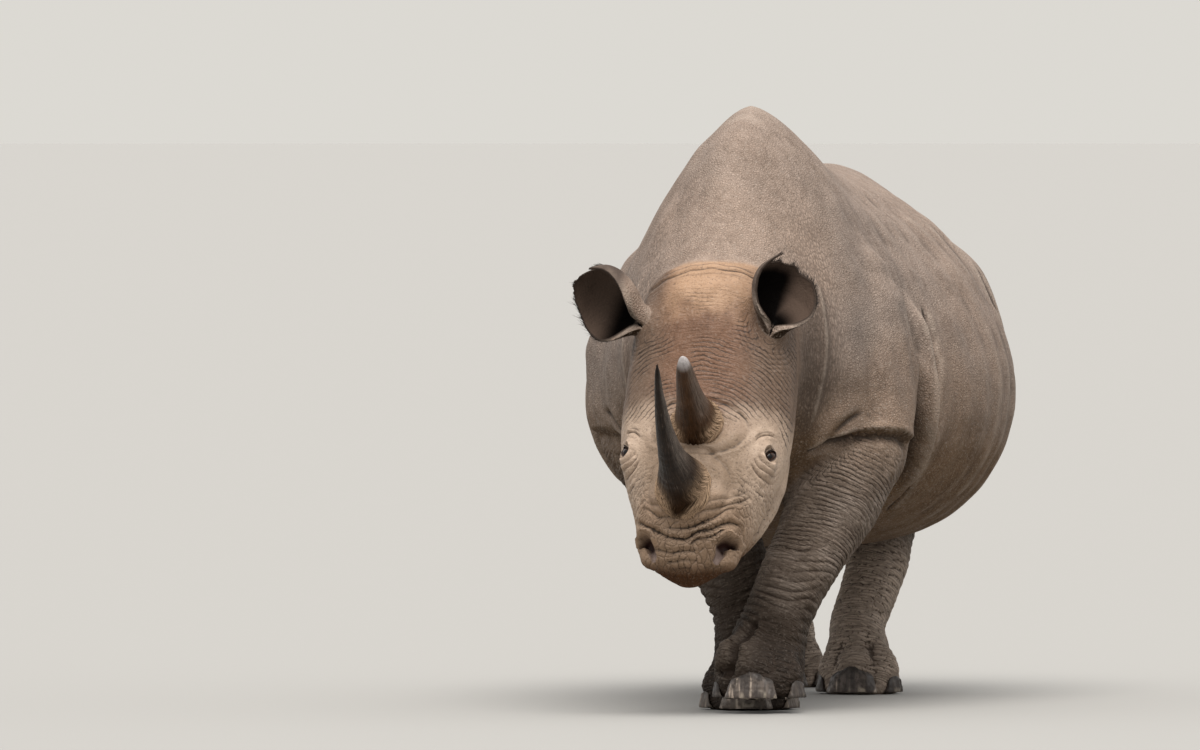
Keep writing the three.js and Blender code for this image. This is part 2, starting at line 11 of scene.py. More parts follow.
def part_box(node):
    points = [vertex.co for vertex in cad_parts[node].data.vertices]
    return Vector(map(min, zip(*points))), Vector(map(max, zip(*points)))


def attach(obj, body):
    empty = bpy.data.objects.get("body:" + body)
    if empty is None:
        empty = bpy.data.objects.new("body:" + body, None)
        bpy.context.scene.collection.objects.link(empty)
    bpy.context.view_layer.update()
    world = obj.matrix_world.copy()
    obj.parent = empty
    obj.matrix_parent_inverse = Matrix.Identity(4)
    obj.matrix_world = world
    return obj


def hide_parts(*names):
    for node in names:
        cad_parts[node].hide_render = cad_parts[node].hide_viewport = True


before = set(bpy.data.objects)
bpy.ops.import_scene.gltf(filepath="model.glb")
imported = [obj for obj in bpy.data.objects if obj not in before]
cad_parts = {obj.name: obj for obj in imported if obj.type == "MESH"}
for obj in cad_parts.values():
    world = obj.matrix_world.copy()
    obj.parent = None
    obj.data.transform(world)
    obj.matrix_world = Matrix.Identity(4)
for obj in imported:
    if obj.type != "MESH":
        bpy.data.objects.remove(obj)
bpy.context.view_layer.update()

START = time.time()

# ---------- driving sizes, in metres ----------
VOXEL = 0.011              # mesh spacing of the first skin; each refining step halves it
WELD = 0.0007              # how far each solid grows, so that neighbours merge into one skin
LID_THICKNESS = 0.0045
BLEND_ROUNDS = 14          # how far one body part's finish runs into the next

# The head's own frame: x to the animal's left, y back along the face, z out of the forehead.
HEAD_PITCH = math.radians(63)
HEAD_ROLL = math.radians(3)
HEAD_YAW = math.radians(-2.5)
EYES_ALONG = 0.424         # from the back of the skull to the eyes
EYES_RISE = 0.068
LIP_SWAY = -0.014          # the lip hangs off the middle, towards its right
LIP_SWAY_ALONG = (0.560, 0.722)
EYE_TILT = math.radians(58)  # the way each eye looks, up from straight sideways

LEGS = ("foreleg_left", "foreleg_right", "hindleg_left", "hindleg_right")
LEG_PARTS = ("upper", "lower", "foot")
NAILS = ("inner", "middle", "outer")
BODY = ("trunk", "neck", "head", "lower_jaw", "tail")
EARS = ("ear_left", "ear_right")
LEG_NODES = tuple(f"{leg}_{part}" for leg in LEGS for part in LEG_PARTS)
FLESH = BODY + EARS + LEG_NODES


# Refined zones
EYE_REACH = 0.08
SLIT_REACH = 0.034
MUZZLE_ALONG = 0.535

# Head features, in the head's frame: off the middle, and down the face from the skull
# These points too are, or lie close to, that scratch program's numbers; see the folds.
NOSTRIL = [(0.113, 0.651), (0.102, 0.653), (0.091, 0.663), (0.082, 0.678), (0.076, 0.690)]
SLIT_TURN = math.radians(45)
SLIT_LENGTH = 0.0205
SLIT_UPPER = 0.0098
SLIT_LOWER = 0.0100
LID_EDGE = 0.0016          # thickness of the lids where they part
# Rings of skin round the eye: radius, first and last angle from straight down the face, depth
EYE_RINGS = [(0.036, -80, 85, 0.0026), (0.047, -75, 70, 0.0034), (0.060, -70, 62, 0.0038),
             (0.094, -62, 22, 0.0056), (0.052, 112, 196, 0.0044),
             (0.060, 120, 185, 0.0026)]
# Grooves over the muzzle: depth, then points off the middle and down the face
# These points too are, or lie close to, that scratch program's numbers; see the folds.
MUZZLE_GROOVES = [
    (0.0020, [(-0.125, 0.556), (-0.095, 0.577), (-0.06, 0.592)]),
    (0.0042, [(-0.128, 0.573), (-0.092, 0.595), (-0.069, 0.611), (-0.029, 0.614), (0.007, 0.614),
              (0.04, 0.601), (0.069, 0.587), (0.11, 0.566), (0.15, 0.53)]),
    (0.0025, [(0.03, 0.588), (0.07, 0.572), (0.11, 0.549), (0.135, 0.527)]),
    (0.0042, [(-0.062, 0.632), (-0.015, 0.636), (0.02, 0.631), (0.05, 0.614), (0.085, 0.592),
              (0.118, 0.572)]),
    (0.0062, [(-0.15, 0.585), (-0.12, 0.613), (-0.088, 0.634), (-0.062, 0.65), (-0.036, 0.659),
              (-0.008, 0.659), (0.013, 0.654), (0.04, 0.642), (0.067, 0.631), (0.093, 0.619),
              (0.115, 0.606), (0.126, 0.612), (0.131, 0.628)]),
    (0.0034, [(0.012, 0.669), (0.046, 0.654), (0.07, 0.644), (0.094, 0.631)]),
    (0.0032, [(-0.092, 0.668), (-0.055, 0.68), (-0.002, 0.682), (0.034, 0.677)]),
    (0.0028, [(-0.046, 0.698), (-0.003, 0.699), (0.036, 0.696)]),
    (0.0022, [(-0.036, 0.712), (-0.005, 0.712), (0.02, 0.709)]),
]
# These points too are, or lie close to, that scratch program's numbers; see the folds.
POLL_GROOVES = [
    (0.0060, [(-0.19, 0.01), (-0.165, -0.016), (-0.135, -0.025), (-0.096, -0.032),
              (-0.042, -0.045), (0.0, -0.047), (0.056, -0.042), (0.09, -0.039), (0.118, -0.028),
              (0.15, -0.01)]),
    (0.0045, [(-0.15, -0.038), (-0.10, -0.049), (-0.042, -0.060), (0.0, -0.063),
              (0.056, -0.058), (0.11, -0.044)]),
    (0.0022, [(-0.11, -0.017), (-0.042, -0.029), (0.02, -0.031), (0.09, -0.022)]),
    (0.0018, [(-0.10, -0.066), (-0.042, -0.077), (0.03, -0.078), (0.10, -0.065)]),
]
# Ears, in metres and degrees: side, foot off the middle and down the face, lean outwards, turn,
# width as a share of EAR_SHELL, and the rim's reach along the ear from inner to outer edge
EARS_SET = [
    (1, 0.148, 0.102, 25, 4, 0.86,
     [0.3, 0.66, 0.90, 0.93, 0.90, 0.80, 0.72, 0.72, 0.73, 0.72, 0.72, 0.72, 0.73, 0.66, 0.65,
      0.645, 0.64, 0.60, 0.55, 0.49, 0.42, 0.33, 0.26, 0.19, 0.13]),
    (-1, 0.158, 0.084, 66, 2, 0.92,
     [0.36, 0.84, 0.8, 0.74, 0.9, 0.95, 0.97, 0.96, 0.93, 0.85, 0.68, 0.4, 0.06]),
]
EAR_NOD = 20               # degrees the ears lean forward
EAR_RISE = 0.104           # off the face
EAR_LENGTH = 0.212
EAR_RIM = 0.0045
EAR_FLOOR = 0.012          # how far up the ear its hollow starts
EAR_ROOT = 0.035
# The ear's shell from its foot to its tip: radius in metres, half of the arc in degrees
EAR_SHELL = [(0.036, 176), (0.051, 168), (0.078, 140), (0.096, 122), (0.105, 108), (0.101, 98),
             (0.080, 90), (0.053, 84)]
EAR_BACK_DEPTH = 1.1       # shares of the radius, behind and before the ear's own line
EAR_FRONT_DEPTH = 0.85
EAR_PIT = 0.32             # the stretch of painted shade inside, as a share of the way from edge to edge
EAR_ROWS = 56
EAR_COLUMNS = 84
LINE_WIDTH = 0.0022        # half of the line of painted shade at the bottom of a groove
HORN_BASES = [(-0.004, 0.536, 0.082, 0.074), (0.004, 0.378, 0.092, 0.060)]
FOLDS_END = 0.25
WRINKLE = 0.0125           # spacing of the fine wrinkles of the legs
BROW_WRINKLE = 0.0115
SHOULDER_LOW_Z = 0.72
BASE_ROUNDS = 50
# The haunch is one round form, so it is smoothed on from here back
HAUNCH_Y = 0.82
HAUNCH_LOW = 0.64
HAUNCH_ROUNDS = 180

# Folds of the left side, in the frame's own metres; the right side takes them mirrored. Many of these
# points weren't chosen from sizes. They are, or lie close to, numbers printed by a scratch program that
# cast places picked in the photo onto the CAD solids. All were then moved 7 mm along y, and
# BEHIND_SHOULDER 8 mm along x. ROLL_MIDDLE and TOE_EDGE match none of them.
BEHIND_SHOULDER = [(0.338, -0.183, 1.09), (0.385, -0.193, 0.984), (0.407, -0.208, 0.905),
                   (0.405, -0.168, 0.823), (0.401, -0.147, 0.709), (0.378, -0.113, 0.62),
                   (0.318, -0.063, 0.53)]
ROLL_EDGE = [(0.39, -0.013, 1.0), (0.407, -0.005, 0.935), (0.428, -0.003, 0.86), (0.43, -0.023, 0.79),
             (0.424, -0.037, 0.713), (0.402, -0.007, 0.627), (0.373, 0.023, 0.569),
             (0.338, 0.064, 0.522), (0.28, 0.087, 0.47)]
ROLL_MIDDLE = [(0.36, -0.093, 1.04), (0.388, -0.098, 0.96), (0.412, -0.103, 0.87), (0.413, -0.093, 0.80),
               (0.408, -0.091, 0.71), (0.386, -0.059, 0.62), (0.345, -0.023, 0.56), (0.30, 0.007, 0.50)]
NECK_EDGE = [(0.2, -0.553, 1.1), (0.242, -0.612, 0.977), (0.249, -0.637, 0.864),
             (0.225, -0.63, 0.751), (0.192, -0.604, 0.672)]
FLANK_EDGE = [(0.34, 1.027, 1.1), (0.388, 1.002, 1.028), (0.419, 0.991, 0.95), (0.44, 0.977, 0.85),
              (0.43, 0.937, 0.75), (0.4, 0.877, 0.66)]
SHOULDER_TOP = [(0.185, -0.566, 0.631), (0.229, -0.556, 0.665), (0.277, -0.536, 0.716),
                (0.306, -0.504, 0.732), (0.325, -0.475, 0.741)]
SHOULDER_LOW = [(0.18, -0.568, 0.635), (0.22, -0.553, 0.662), (0.264, -0.526, 0.682), (0.304, -0.489,
                                                                                       0.687),
                (0.352, -0.468, 0.689), (0.391, -0.425, 0.686), (0.408, -0.373, 0.677),
                (0.405, -0.303, 0.66)]
RIGHT_LEG_BACK = 0.13
# The inner toe of the lifted foot hangs over the nail in front of it
TOE_EDGE = [(0.103, -0.743, 0.235), (0.084, -0.75, 0.195), (0.067, -0.76, 0.150),
            (0.052, -0.765, 0.112), (0.020, -0.762, 0.095), (-0.004, -0.745, 0.112)]
TOE_LOBE = (0.046, -0.735, 0.150)
RIB_SPACING = 0.11
PATH_ROUNDS = 12

# Camera: far off and long, as the animal's flat perspective shows
HUMP_TOP = (0.001, -0.2745, 1.5)
CAMERA_DISTANCE = 45.0
CAMERA_TURN = math.radians(10)
CAMERA_HEIGHT = 1.54
CAMERA_TILT = math.radians(0.913)
CAMERA_ASIDE = math.radians(0.474)
SENSOR = 36.0
LENS = 544.05
SIGHT = 500                # how far the camera sees, in metres
FLOOR_SIDES = 96
FLOOR_GAP = 0.001          # between the floor and the soles
FLOOR_ROUGHNESS = 0.9
OVERHEAD_COLOUR = (1.0, 0.97, 0.93)
SKY_STARTS = -0.1          # height on the sky's unit ball where it starts to brighten
FLOOR_RADIUS = 440.0

# Light
OVERHEAD_ENERGY = 3.7
OVERHEAD_SPREAD = math.radians(50)
OVERHEAD_TURN = (math.radians(27), math.radians(6), 0)
SKY_LOW = 0.36
SKY_HIGH = 1.35
FLOOR_COLOUR = (0.310, 0.301, 0.284)
BACKDROP = (0.715, 0.695, 0.650)

# Colours (linear)
HIDE_WARM = (0.245, 0.175, 0.132)
HIDE_COOL = (0.215, 0.168, 0.140)
HIDE_FACING_UP = (0.365, 0.272, 0.215)
BELLY_SHADE = (0.024, 0.013, 0.006)
MUD = (0.215, 0.138, 0.083)
FACE = (0.400, 0.298, 0.222)
BRIDGE = (0.235, 0.165, 0.112)
FOREHEAD = (0.150, 0.077, 0.044)
POLL = (0.385, 0.240, 0.146)
MUZZLE = (0.265, 0.180, 0.120)
LIP = (0.068, 0.030, 0.013)
LEG = (0.210, 0.168, 0.138)
SHIN = (0.020, 0.013, 0.008)
HIND_LIT = (0.370, 0.295, 0.235)
HIND_SHADE = (0.028, 0.019, 0.013)
TEMPLE = (0.134, 0.086, 0.058)
NECK_SHADE = (0.085, 0.060, 0.045)
EAR_SHADE = (0.0015, 0.0010, 0.0008)
LEG_MUD = (0.150, 0.115, 0.090)
FOOT = (0.018, 0.013, 0.010)
PALE_SPECK = (0.380, 0.320, 0.270)
BLOT_SHADE = (0.62, 0.60, 0.58)
STREAK_SHADE = (0.66, 0.64, 0.62)
SCRATCH = (0.420, 0.360, 0.310)
# Dark specks and grain between the cells, and painted shade in creases and hollows
GRIT_AND_CREASE_SHADE = (0.045, 0.032, 0.024)
# Painted shade along the bottom of creases, grooves and wrinkles
LINE_SHADE = (0.016, 0.010, 0.007)
RIDGE_HIGHLIGHT = (0.400, 0.330, 0.270)
EAR_BACK = (0.120, 0.092, 0.075)
EAR_BACK_DARK = (0.075, 0.056, 0.046)
EAR_INSIDE = (0.074, 0.051, 0.039)
EAR_RIM_DARK = (0.040, 0.029, 0.023)
LID = (0.022, 0.013, 0.010)
NOSTRIL_SHADE = (0.022, 0.010, 0.008)
NOSTRIL_PINK_HIGHLIGHT = (0.250, 0.185, 0.160)
HORN_DEEP = (0.009, 0.005, 0.003)
HORN_SLATE = (0.027, 0.016, 0.010)
# Pale streaks in the horn, also used for the painted sheen down one side
HORN_PALE_AND_SHEEN = (0.190, 0.155, 0.130)
HORN_ROOT = (0.038, 0.019, 0.009)
HORN_BROWN = (0.072, 0.032, 0.013)
HORN_SKIRT = (0.400, 0.275, 0.180)
HORN_TIP = (0.450, 0.420, 0.410)
NAIL = (0.125, 0.098, 0.080)
NAIL_DARK = (0.045, 0.034, 0.028)
NAIL_PALE_AND_LIT = (0.480, 0.390, 0.310)
NAIL_CHIP = (0.330, 0.280, 0.220)
GAZE = np.array([0.12, 0.10, 0.987])   # the way the eye looks: down the face, to the brow, out
HAIR_PATCH = 0.003


def note(text):
    print(f"[rhino {time.time() - START:6.1f} s] {text}")


# ---------- small tools ----------
def unit(v):
    return v / np.linalg.norm(v)


def ramp(x, low, high):
    """0 below low, 1 above high, smooth between; low may be the larger one."""
    t = np.clip((x - low) / (high - low), 0, 1)
    return t * t * (3 - 2 * t)


def bell(x, width):
    return np.exp(-(x / width) ** 2)


def box_centre(node):
    low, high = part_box(node)
    return np.array((low + high) / 2)


def ball_radius(node):
    low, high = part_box(node)
    return (high - low).x / 2


def hashed(cell, step, seed):
    """A repeatable value from 0 to 1 for each cell of a grid."""
    x, y, z = ((cell[:, k] + step[k]).astype(np.int32).view(np.uint32) for k in range(3))
    h = x * np.uint32(73856093) ^ y * np.uint32(19349663) ^ z * np.uint32(83492791)
    h = h ^ np.uint32(seed * 2654435761 % 2**32)
    h = (h ^ h >> np.uint32(13)) * np.uint32(1274126177)
    h = (h ^ h >> np.uint32(15)) * np.uint32(2246822519)
    h = h ^ h >> np.uint32(16)
    return (h & np.uint32(0xFFFFFF)) / float(0xFFFFFF)


def noise(points, size, seed=0):
    """Smooth noise from -1 to 1 with features of about the given size."""
    q = points / size
    cell = np.floor(q).astype(np.int64)
    f = q - cell
    f = f * f * (3 - 2 * f)
    total = np.zeros(len(q))
    for corner in range(8):
        step = (corner & 1, corner >> 1 & 1, corner >> 2)
        weight = np.ones(len(q))
        for k in range(3):
            weight *= f[:, k] if step[k] else 1 - f[:, k]
        total += weight * hashed(cell, step, seed)
    return total * 2 - 1


def cell_borders(q, seed=0):
    """Scattered cells about 1 across: 0 on the borders between them, rising inside."""
    cell = np.floor(q).astype(np.int64)
    near = np.full(len(q), 9.0)
    next_near = np.full(len(q), 9.0)
    for i in (-1, 0, 1):
        for j in (-1, 0, 1):
            for k in (-1, 0, 1):
                step = (i, j, k)
                spot = [cell[:, a] + step[a] + hashed(cell, step, seed + a) for a in range(3)]
                gap = sum((q[:, a] - spot[a]) ** 2 for a in range(3))
                next_near = np.minimum(next_near, np.maximum(near, gap))
                near = np.minimum(near, gap)
    return np.sqrt(next_near) - np.sqrt(near)


def curve_through(points, steps=6):
    """A smooth curve through a few points, as a denser list of points."""
    p = np.array(points, float)
    p = np.vstack([2 * p[0] - p[1], p, 2 * p[-1] - p[-2]])
    rows = []
    for i in range(1, len(p) - 2):
        for t in np.arange(steps) / steps:
            a = 2 * p[i]
            b = (p[i + 1] - p[i - 1]) * t
            c = (2 * p[i - 1] - 5 * p[i] + 4 * p[i + 1] - p[i + 2]) * t * t
            d = (3 * p[i] - p[i - 1] - 3 * p[i + 1] + p[i + 2]) * t**3
            rows.append((a + b + c + d) / 2)
    rows.append(p[-2])
    return np.array(rows)


def path_gap(points, path):
    """For each point: its offset from the path, and where along the path that is, 0 to 1."""
    best = np.full(len(points), 1e9)
    offset = np.zeros_like(points)
    along = np.zeros(len(points))
    total = np.linalg.norm(np.diff(path, axis=0), axis=1).sum()
    done = 0.0
    for a, b in zip(path[:-1], path[1:]):
        run = b - a
        length = np.linalg.norm(run)
        t = np.clip((points - a) @ run / length**2, 0, 1)
        away = points - a - t[:, None] * run
        gap = (away**2).sum(1)
        nearer = gap < best
        best[nearer] = gap[nearer]
        offset[nearer] = away[nearer]
        along[nearer] = (done + t[nearer] * length) / total
        done += length
    return offset, along


# ---------- the skin's mesh ----------
class Hide:
    """Points joined by quads, with wider faces only round a refined zone, and values per point."""

    def __init__(self, co, quads):
        self.co = co
        self.quads = quads
        self.wide = np.empty((0, 8), int)
        self.data = {}

    def edges(self):
        q = self.quads
        pairs = [np.stack([q[:, k], q[:, (k + 1) % 4]], 1) for k in range(4)]
        for row in self.wide:
            ring = row[row >= 0]
            pairs.append(np.stack([ring, np.roll(ring, -1)], 1))
        pairs = np.sort(np.concatenate(pairs), 1)
        key = np.unique(pairs[:, 0] * len(self.co) + pairs[:, 1])
        return key // len(self.co), key % len(self.co)

    def normals(self):
        c = self.co[self.quads]
        face = np.cross(c[:, 2] - c[:, 0], c[:, 3] - c[:, 1])
        total = np.empty_like(self.co)
        for k in range(3):
            total[:, k] = sum(
                np.bincount(self.quads[:, i], face[:, k], len(self.co)) for i in range(4))
        return total / np.maximum(np.linalg.norm(total, axis=1), 1e-12)[:, None]

    def relaxed(self, values, weight, rounds):
        """The values after some rounds of moving towards the mean of their neighbours."""
        a, b = self.edges()
        n = len(self.co)
        degree = np.maximum(np.bincount(a, minlength=n) + np.bincount(b, minlength=n), 1)
        out = values.reshape(n, -1).copy()
        step = (0.5 * weight / degree)
        for _ in range(rounds):
            for k in range(out.shape[1]):
                v = out[:, k]
                mean = np.bincount(a, v[b], n) + np.bincount(b, v[a], n) - degree * v
                out[:, k] = v + step * mean
        return out.reshape(values.shape)

    def smooth(self, weight, rounds):
        """Smooth the shape and give back most of what smoothing shrinks."""
        once = self.relaxed(self.co, weight, rounds)
        rest = self.relaxed(self.co - once, weight, rounds)
        self.co = once + rest

    def push(self, amount):
        self.co = self.co + self.normals() * amount[:, None]

    def refine(self, chosen):
        """Split the chosen quads in four, along the surface's own curve."""
        n = len(self.co)
        near_wide = np.zeros(n, bool)
        near_wide[self.wide[self.wide >= 0]] = True
        chosen = chosen & ~near_wide[self.quads].any(1)
        q = self.quads[chosen]
        a = q
        b = np.roll(q, -1, 1)
        key = np.minimum(a, b) * n + np.maximum(a, b)
        split, place = np.unique(key, return_inverse=True)
        place = place.reshape(q.shape)
        ends = (split // n, split % n)
        normal = self.normals()
        span = self.co[ends[1]] - self.co[ends[0]]
        rise = [(span * normal[ends[k]]).sum(1)[:, None] * normal[ends[k]] for k in (0, 1)]
        mid = (self.co[ends[0]] + self.co[ends[1]]) / 2 - (rise[0] - rise[1]) / 8
        centre = mid[place].sum(1) / 2 - self.co[q].sum(1) / 4
        first = n + len(split)
        self.co = np.vstack([self.co, mid, centre])
        for name, v in self.data.items():
            halves = (v[ends[0]] + v[ends[1]]) / 2
            self.data[name] = np.concatenate([v, halves, v[q].mean(1)])
        m = n + place
        c = first + np.arange(len(q))
        quarters = [np.stack([q[:, k], m[:, k], c, m[:, k - 1]], 1) for k in range(4)]
        rest = self.quads[~chosen]
        key = np.minimum(rest, np.roll(rest, -1, 1)) * n + np.maximum(rest, np.roll(rest, -1, 1))
        spot = np.minimum(np.searchsorted(split, key), len(split) - 1)
        hit = split[spot] == key
        open_side = hit.any(1)
        wide = np.empty((open_side.sum(), 8), int)
        wide[:, 0::2] = rest[open_side]
        wide[:, 1::2] = np.where(hit[open_side], n + spot[open_side], -1)
        self.wide = np.vstack([self.wide, wide])
        self.quads = np.vstack([rest[~open_side]] + quarters)

    def mesh(self, name):
        loops = [self.quads.ravel()]
        sizes = [np.full(len(self.quads), 4)]
        if len(self.wide):
            loops.append(self.wide[self.wide >= 0])
            sizes.append((self.wide >= 0).sum(1))
        return mesh_of(name, self.co, np.concatenate(loops), np.concatenate(sizes))


def mesh_of(name, co, loops, sizes):
    mesh = bpy.data.meshes.new(name)
    mesh.vertices.add(len(co))
    mesh.vertices.foreach_set("co", np.asarray(co, np.float32).ravel())
    mesh.loops.add(len(loops))
    mesh.loops.foreach_set("vertex_index", np.asarray(loops, np.int32))
    mesh.polygons.add(len(sizes))
    starts = np.concatenate([[0], np.cumsum(sizes)[:-1]])
    mesh.polygons.foreach_set("loop_start", starts.astype(np.int32))
    mesh.update(calc_edges=True)
    mesh.validate()
    mesh.polygons.foreach_set("use_smooth", np.ones(len(mesh.polygons), bool))
    return mesh


def place(name, mesh):
    obj = bpy.data.objects.new(name, mesh)
    bpy.context.scene.collection.objects.link(obj)
    return obj


def grown_union(nodes, growth):
    """The named solids in one mesh, each a little larger, so that they overlap."""
    whole = bmesh.new()
    for name in nodes:
        part = bmesh.new()
        part.from_mesh(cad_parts[name].data)
        bmesh.ops.remove_doubles(part, verts=part.verts, dist=1e-5)
        part.normal_update()
        for v in part.verts:
            v.co += v.normal * growth
        scrap = bpy.data.meshes.new("scrap")
        part.to_mesh(scrap)
        part.free()
        whole.from_mesh(scrap)
        bpy.data.meshes.remove(scrap)
    return whole


def read(elements, key, kind, columns=1):
    """One value, or one row of values, for each element."""
    out = np.empty(len(elements) * columns, kind)
    elements.foreach_get(key, out)
    return out.reshape(-1, columns) if columns > 1 else out


def remeshed(bm, voxel):
    """Points and quads of a voxel skin over everything in the mesh."""
    mesh = bpy.data.meshes.new("scrap")
    bm.to_mesh(mesh)
    bm.free()
    obj = place("scrap", mesh)
    change = obj.modifiers.new("skin", "REMESH")
    change.mode = "VOXEL"
    change.voxel_size = voxel
    done = bpy.data.meshes.new_from_object(obj.evaluated_get(bpy.context.evaluated_depsgraph_get()))
    co = read(done.vertices, "co", np.float32, 3)
    sizes = read(done.polygons, "loop_total", np.int32)
    loops = read(done.loops, "vertex_index", np.int32)
    assert (sizes == 4).all()
    bpy.data.objects.remove(obj)
    bpy.data.meshes.remove(mesh)
    bpy.data.meshes.remove(done)
    return co.astype(float), loops.reshape(-1, 4).astype(int)


def keep_largest(hide):
    """Drop every island of the mesh but the largest."""
    a, b = hide.edges()
    label = np.arange(len(hide.co))
    while True:
        low = np.minimum(label[a], label[b])
        fresh = label.copy()
        np.minimum.at(fresh, a, low)
        np.minimum.at(fresh, b, low)
        fresh = fresh[fresh]
        if (fresh == label).all():
            break
        label = fresh
    kept = label == np.bincount(label).argmax()
    renumber = np.cumsum(kept) - 1
    hide.quads = renumber[hide.quads[kept[hide.quads[:, 0]]]]
    hide.co = hide.co[kept]
    hide.data = {name: value[kept] for name, value in hide.data.items()}


# ---------- where things are ----------
def head_frame():
    turn = (Matrix.Rotation(HEAD_YAW, 3, "Z") @ Matrix.Rotation(HEAD_PITCH, 3, "X")
            @ Matrix.Rotation(HEAD_ROLL, 3, "Y"))
    axes = np.array(turn)
    middle = (box_centre("eye_left") + box_centre("eye_right")) / 2
    return axes, middle - axes @ np.array([0, -EYES_ALONG, EYES_RISE])


HEAD_AXES, HEAD_AT = head_frame()


def lip_sway(along):
    return LIP_SWAY * ramp(along, *LIP_SWAY_ALONG)


def in_head(points):
    """Points in the head's frame, with the second number counted from skull to lip."""
    local = (points - HEAD_AT) @ HEAD_AXES
    local[:, 1] *= -1
    local[:, 0] -= lip_sway(local[:, 1])
    return local


def from_head(points):
    local = np.array(points, float)
    local[:, 0] += lip_sway(local[:, 1])
    local[:, 1] *= -1
    return local @ HEAD_AXES.T + HEAD_AT


def first_skin():
    bm = grown_union([n for n in FLESH if n not in EARS], WELD)
    for side in ("left", "right"):
        radius = ball_radius(f"eye_{side}") + LID_THICKNESS
        ball = Matrix.Translation(Vector(box_centre(f"eye_{side}")))
        bmesh.ops.create_icosphere(bm, subdivisions=3, radius=radius, matrix=ball)
    hide = Hide(*remeshed(bm, VOXEL))
    note(f"first skin: {len(hide.co)} points")
    owner = []
    corners = []
    faces = []
    for index, name in enumerate(FLESH):
        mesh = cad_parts[name].data
        base = len(corners)
        corners += [v.co.copy() for v in mesh.vertices]
        faces += [[base + i for i in p.vertices] for p in mesh.polygons]
        owner += [index] * len(mesh.polygons)
    tree = BVHTree.FromPolygons(corners, faces)
    nearest = np.array([owner[tree.find_nearest(Vector(c))[2]] for c in hide.co])
    owned = {name: (nearest == index).astype(float) for index, name in enumerate(FLESH)}
    hide.data["head"] = owned["head"] + owned["lower_jaw"]
    hide.data["neck"] = owned["neck"]
    hide.data["tail"] = owned["tail"]
    hide.data["thigh"] = sum(owned[f"{leg}_upper"] for leg in LEGS)
    hide.data["shin"] = sum(owned[f"{leg}_lower"] for leg in LEGS)
    hide.data["foot"] = sum(owned[f"{leg}_foot"] for leg in LEGS)
    for leg in LEGS:
        hide.data[leg] = sum(owned[f"{leg}_{part}"] for part in LEG_PARTS)
    for name, value in hide.data.items():
        hide.data[name] = hide.relaxed(value, 1.0, BLEND_ROUNDS)
    return hide


# ---------- refined zones ----------
def eye_places():
    """Each eye's centre, its outward axis, the way down the face, and the way to the forehead."""
    places = []
    for side, sign in (("left", 1), ("right", -1)):
        out = HEAD_AXES @ np.array([sign * math.cos(EYE_TILT), 0, math.sin(EYE_TILT)])
        down = HEAD_AXES @ np.array([0, -1.0, 0])
        brow = HEAD_AXES @ np.array([-sign * math.sin(EYE_TILT), 0, math.cos(EYE_TILT)])
        places.append((box_centre(f"eye_{side}"), out, down, brow))
    return places


EYES = eye_places()


def eye_gap(points):
    return np.min([np.linalg.norm(points - centre, axis=1) for centre, *_ in EYES], axis=0)


def zone(hide, spacing):
    """The quads that should be finer than the given spacing."""
    x, y, z = hide.co.T
    along, rise = in_head(hide.co).T[1:]
    d = hide.data
    leg = d["shin"] + d["foot"]
    if spacing > 0.008:
        folds = (y < FOLDS_END) & (np.abs(x) > 0.15) & (z > 0.42) & (z < 1.15)
        soft = (d["head"] + d["tail"] + leg > 0.02) | ((d["neck"] > 0.02) & (z > 0.7))
        finer = folds | soft | ((d["thigh"] > 0.02) & (z < 0.8))
    elif spacing > 0.004:
        face = (d["head"] > 0.5) & (along > -0.04) & (rise > -0.07)
        front = (d["foreleg_left"] + d["foreleg_right"] > 0.4) & (z < SHOULDER_LOW_Z)
        crown = (along < 0.02) & (along > -0.10) & (rise > 0.04)
        finer = face | crown | (front & (leg + d["thigh"] > 0.4))
    elif spacing > 0.002:
        muzzle = (along > MUZZLE_ALONG) & (rise > -0.03)
        finer = (muzzle | (eye_gap(hide.co) < EYE_REACH)) & (d["head"] > 0.5)
    else:
        finer = eye_gap(hide.co) < SLIT_REACH
    return finer[hide.quads].all(1)


# ---------- folds of the body ----------
def on_skin(hide, points):
    """A smooth curve through the points, moved fore and aft onto the skin."""
    side = math.copysign(1, points[0][0])
    way = np.array([-side * math.sin(CAMERA_TURN), math.cos(CAMERA_TURN), 0])
    path = curve_through(points)
    snapped = []
    for spot in path:
        near = hide.co[(np.abs(hide.co - spot) < 0.09).all(1)]
        if len(near):
            gap = near - spot
            ahead = gap @ way
            score = (gap**2).sum(1) - 0.97 * ahead**2
            snapped.append(near[np.argmin(score)])
        else:
            snapped.append(spot)
    snapped = np.array(snapped)
    for _ in range(PATH_ROUNDS):
        snapped[1:-1] = (snapped[:-2] + 2 * snapped[1:-1] + snapped[2:]) / 4
    return snapped


def near_path(hide, path, reach):
    """The points of the skin in the box round a path, widened by the reach."""
    return np.flatnonzero(((hide.co > path.min(0) - reach) & (hide.co < path.max(0) + reach)).all(1))


def shaken(spots, size, scale, seed):
    """The given points, each moved a little by smooth noise."""
    return spots + size * np.stack([noise(spots, scale, seed + k) for k in range(3)], 1)


def add_crease(hide, lift, points, width, depth, roll=0.0, reach=None, ends=0.15, wander=0.004,
               dirt_and_shade=0.55):
    """A groove along a path through the given points, with a swelling on both sides of it and painted shade
    along it.
    """
    path = on_skin(hide, points)
    reach = reach or 5 * width
    near = near_path(hide, path, reach * 1.6)
    offset, along = path_gap(shaken(hide.co[near], wander, 0.035, 3), path)
    gap = np.linalg.norm(offset, axis=1)
    fade = ramp(along, 0, ends) * ramp(along, 1, 1 - ends) if ends else 1.0
    shape = roll * bell(gap - reach * 0.5, reach * 0.4) - depth * np.exp(-((gap / width) ** 1.4))
    lift[near] += shape * fade
    # Painted shade along the groove; the last argument sets how far it spreads, as a share of the width
    dark = bell(gap, dirt_and_shade * width) * fade * min(1, depth / 0.025)
    hide.data["line"][near] = np.maximum(hide.data["line"][near], dark)


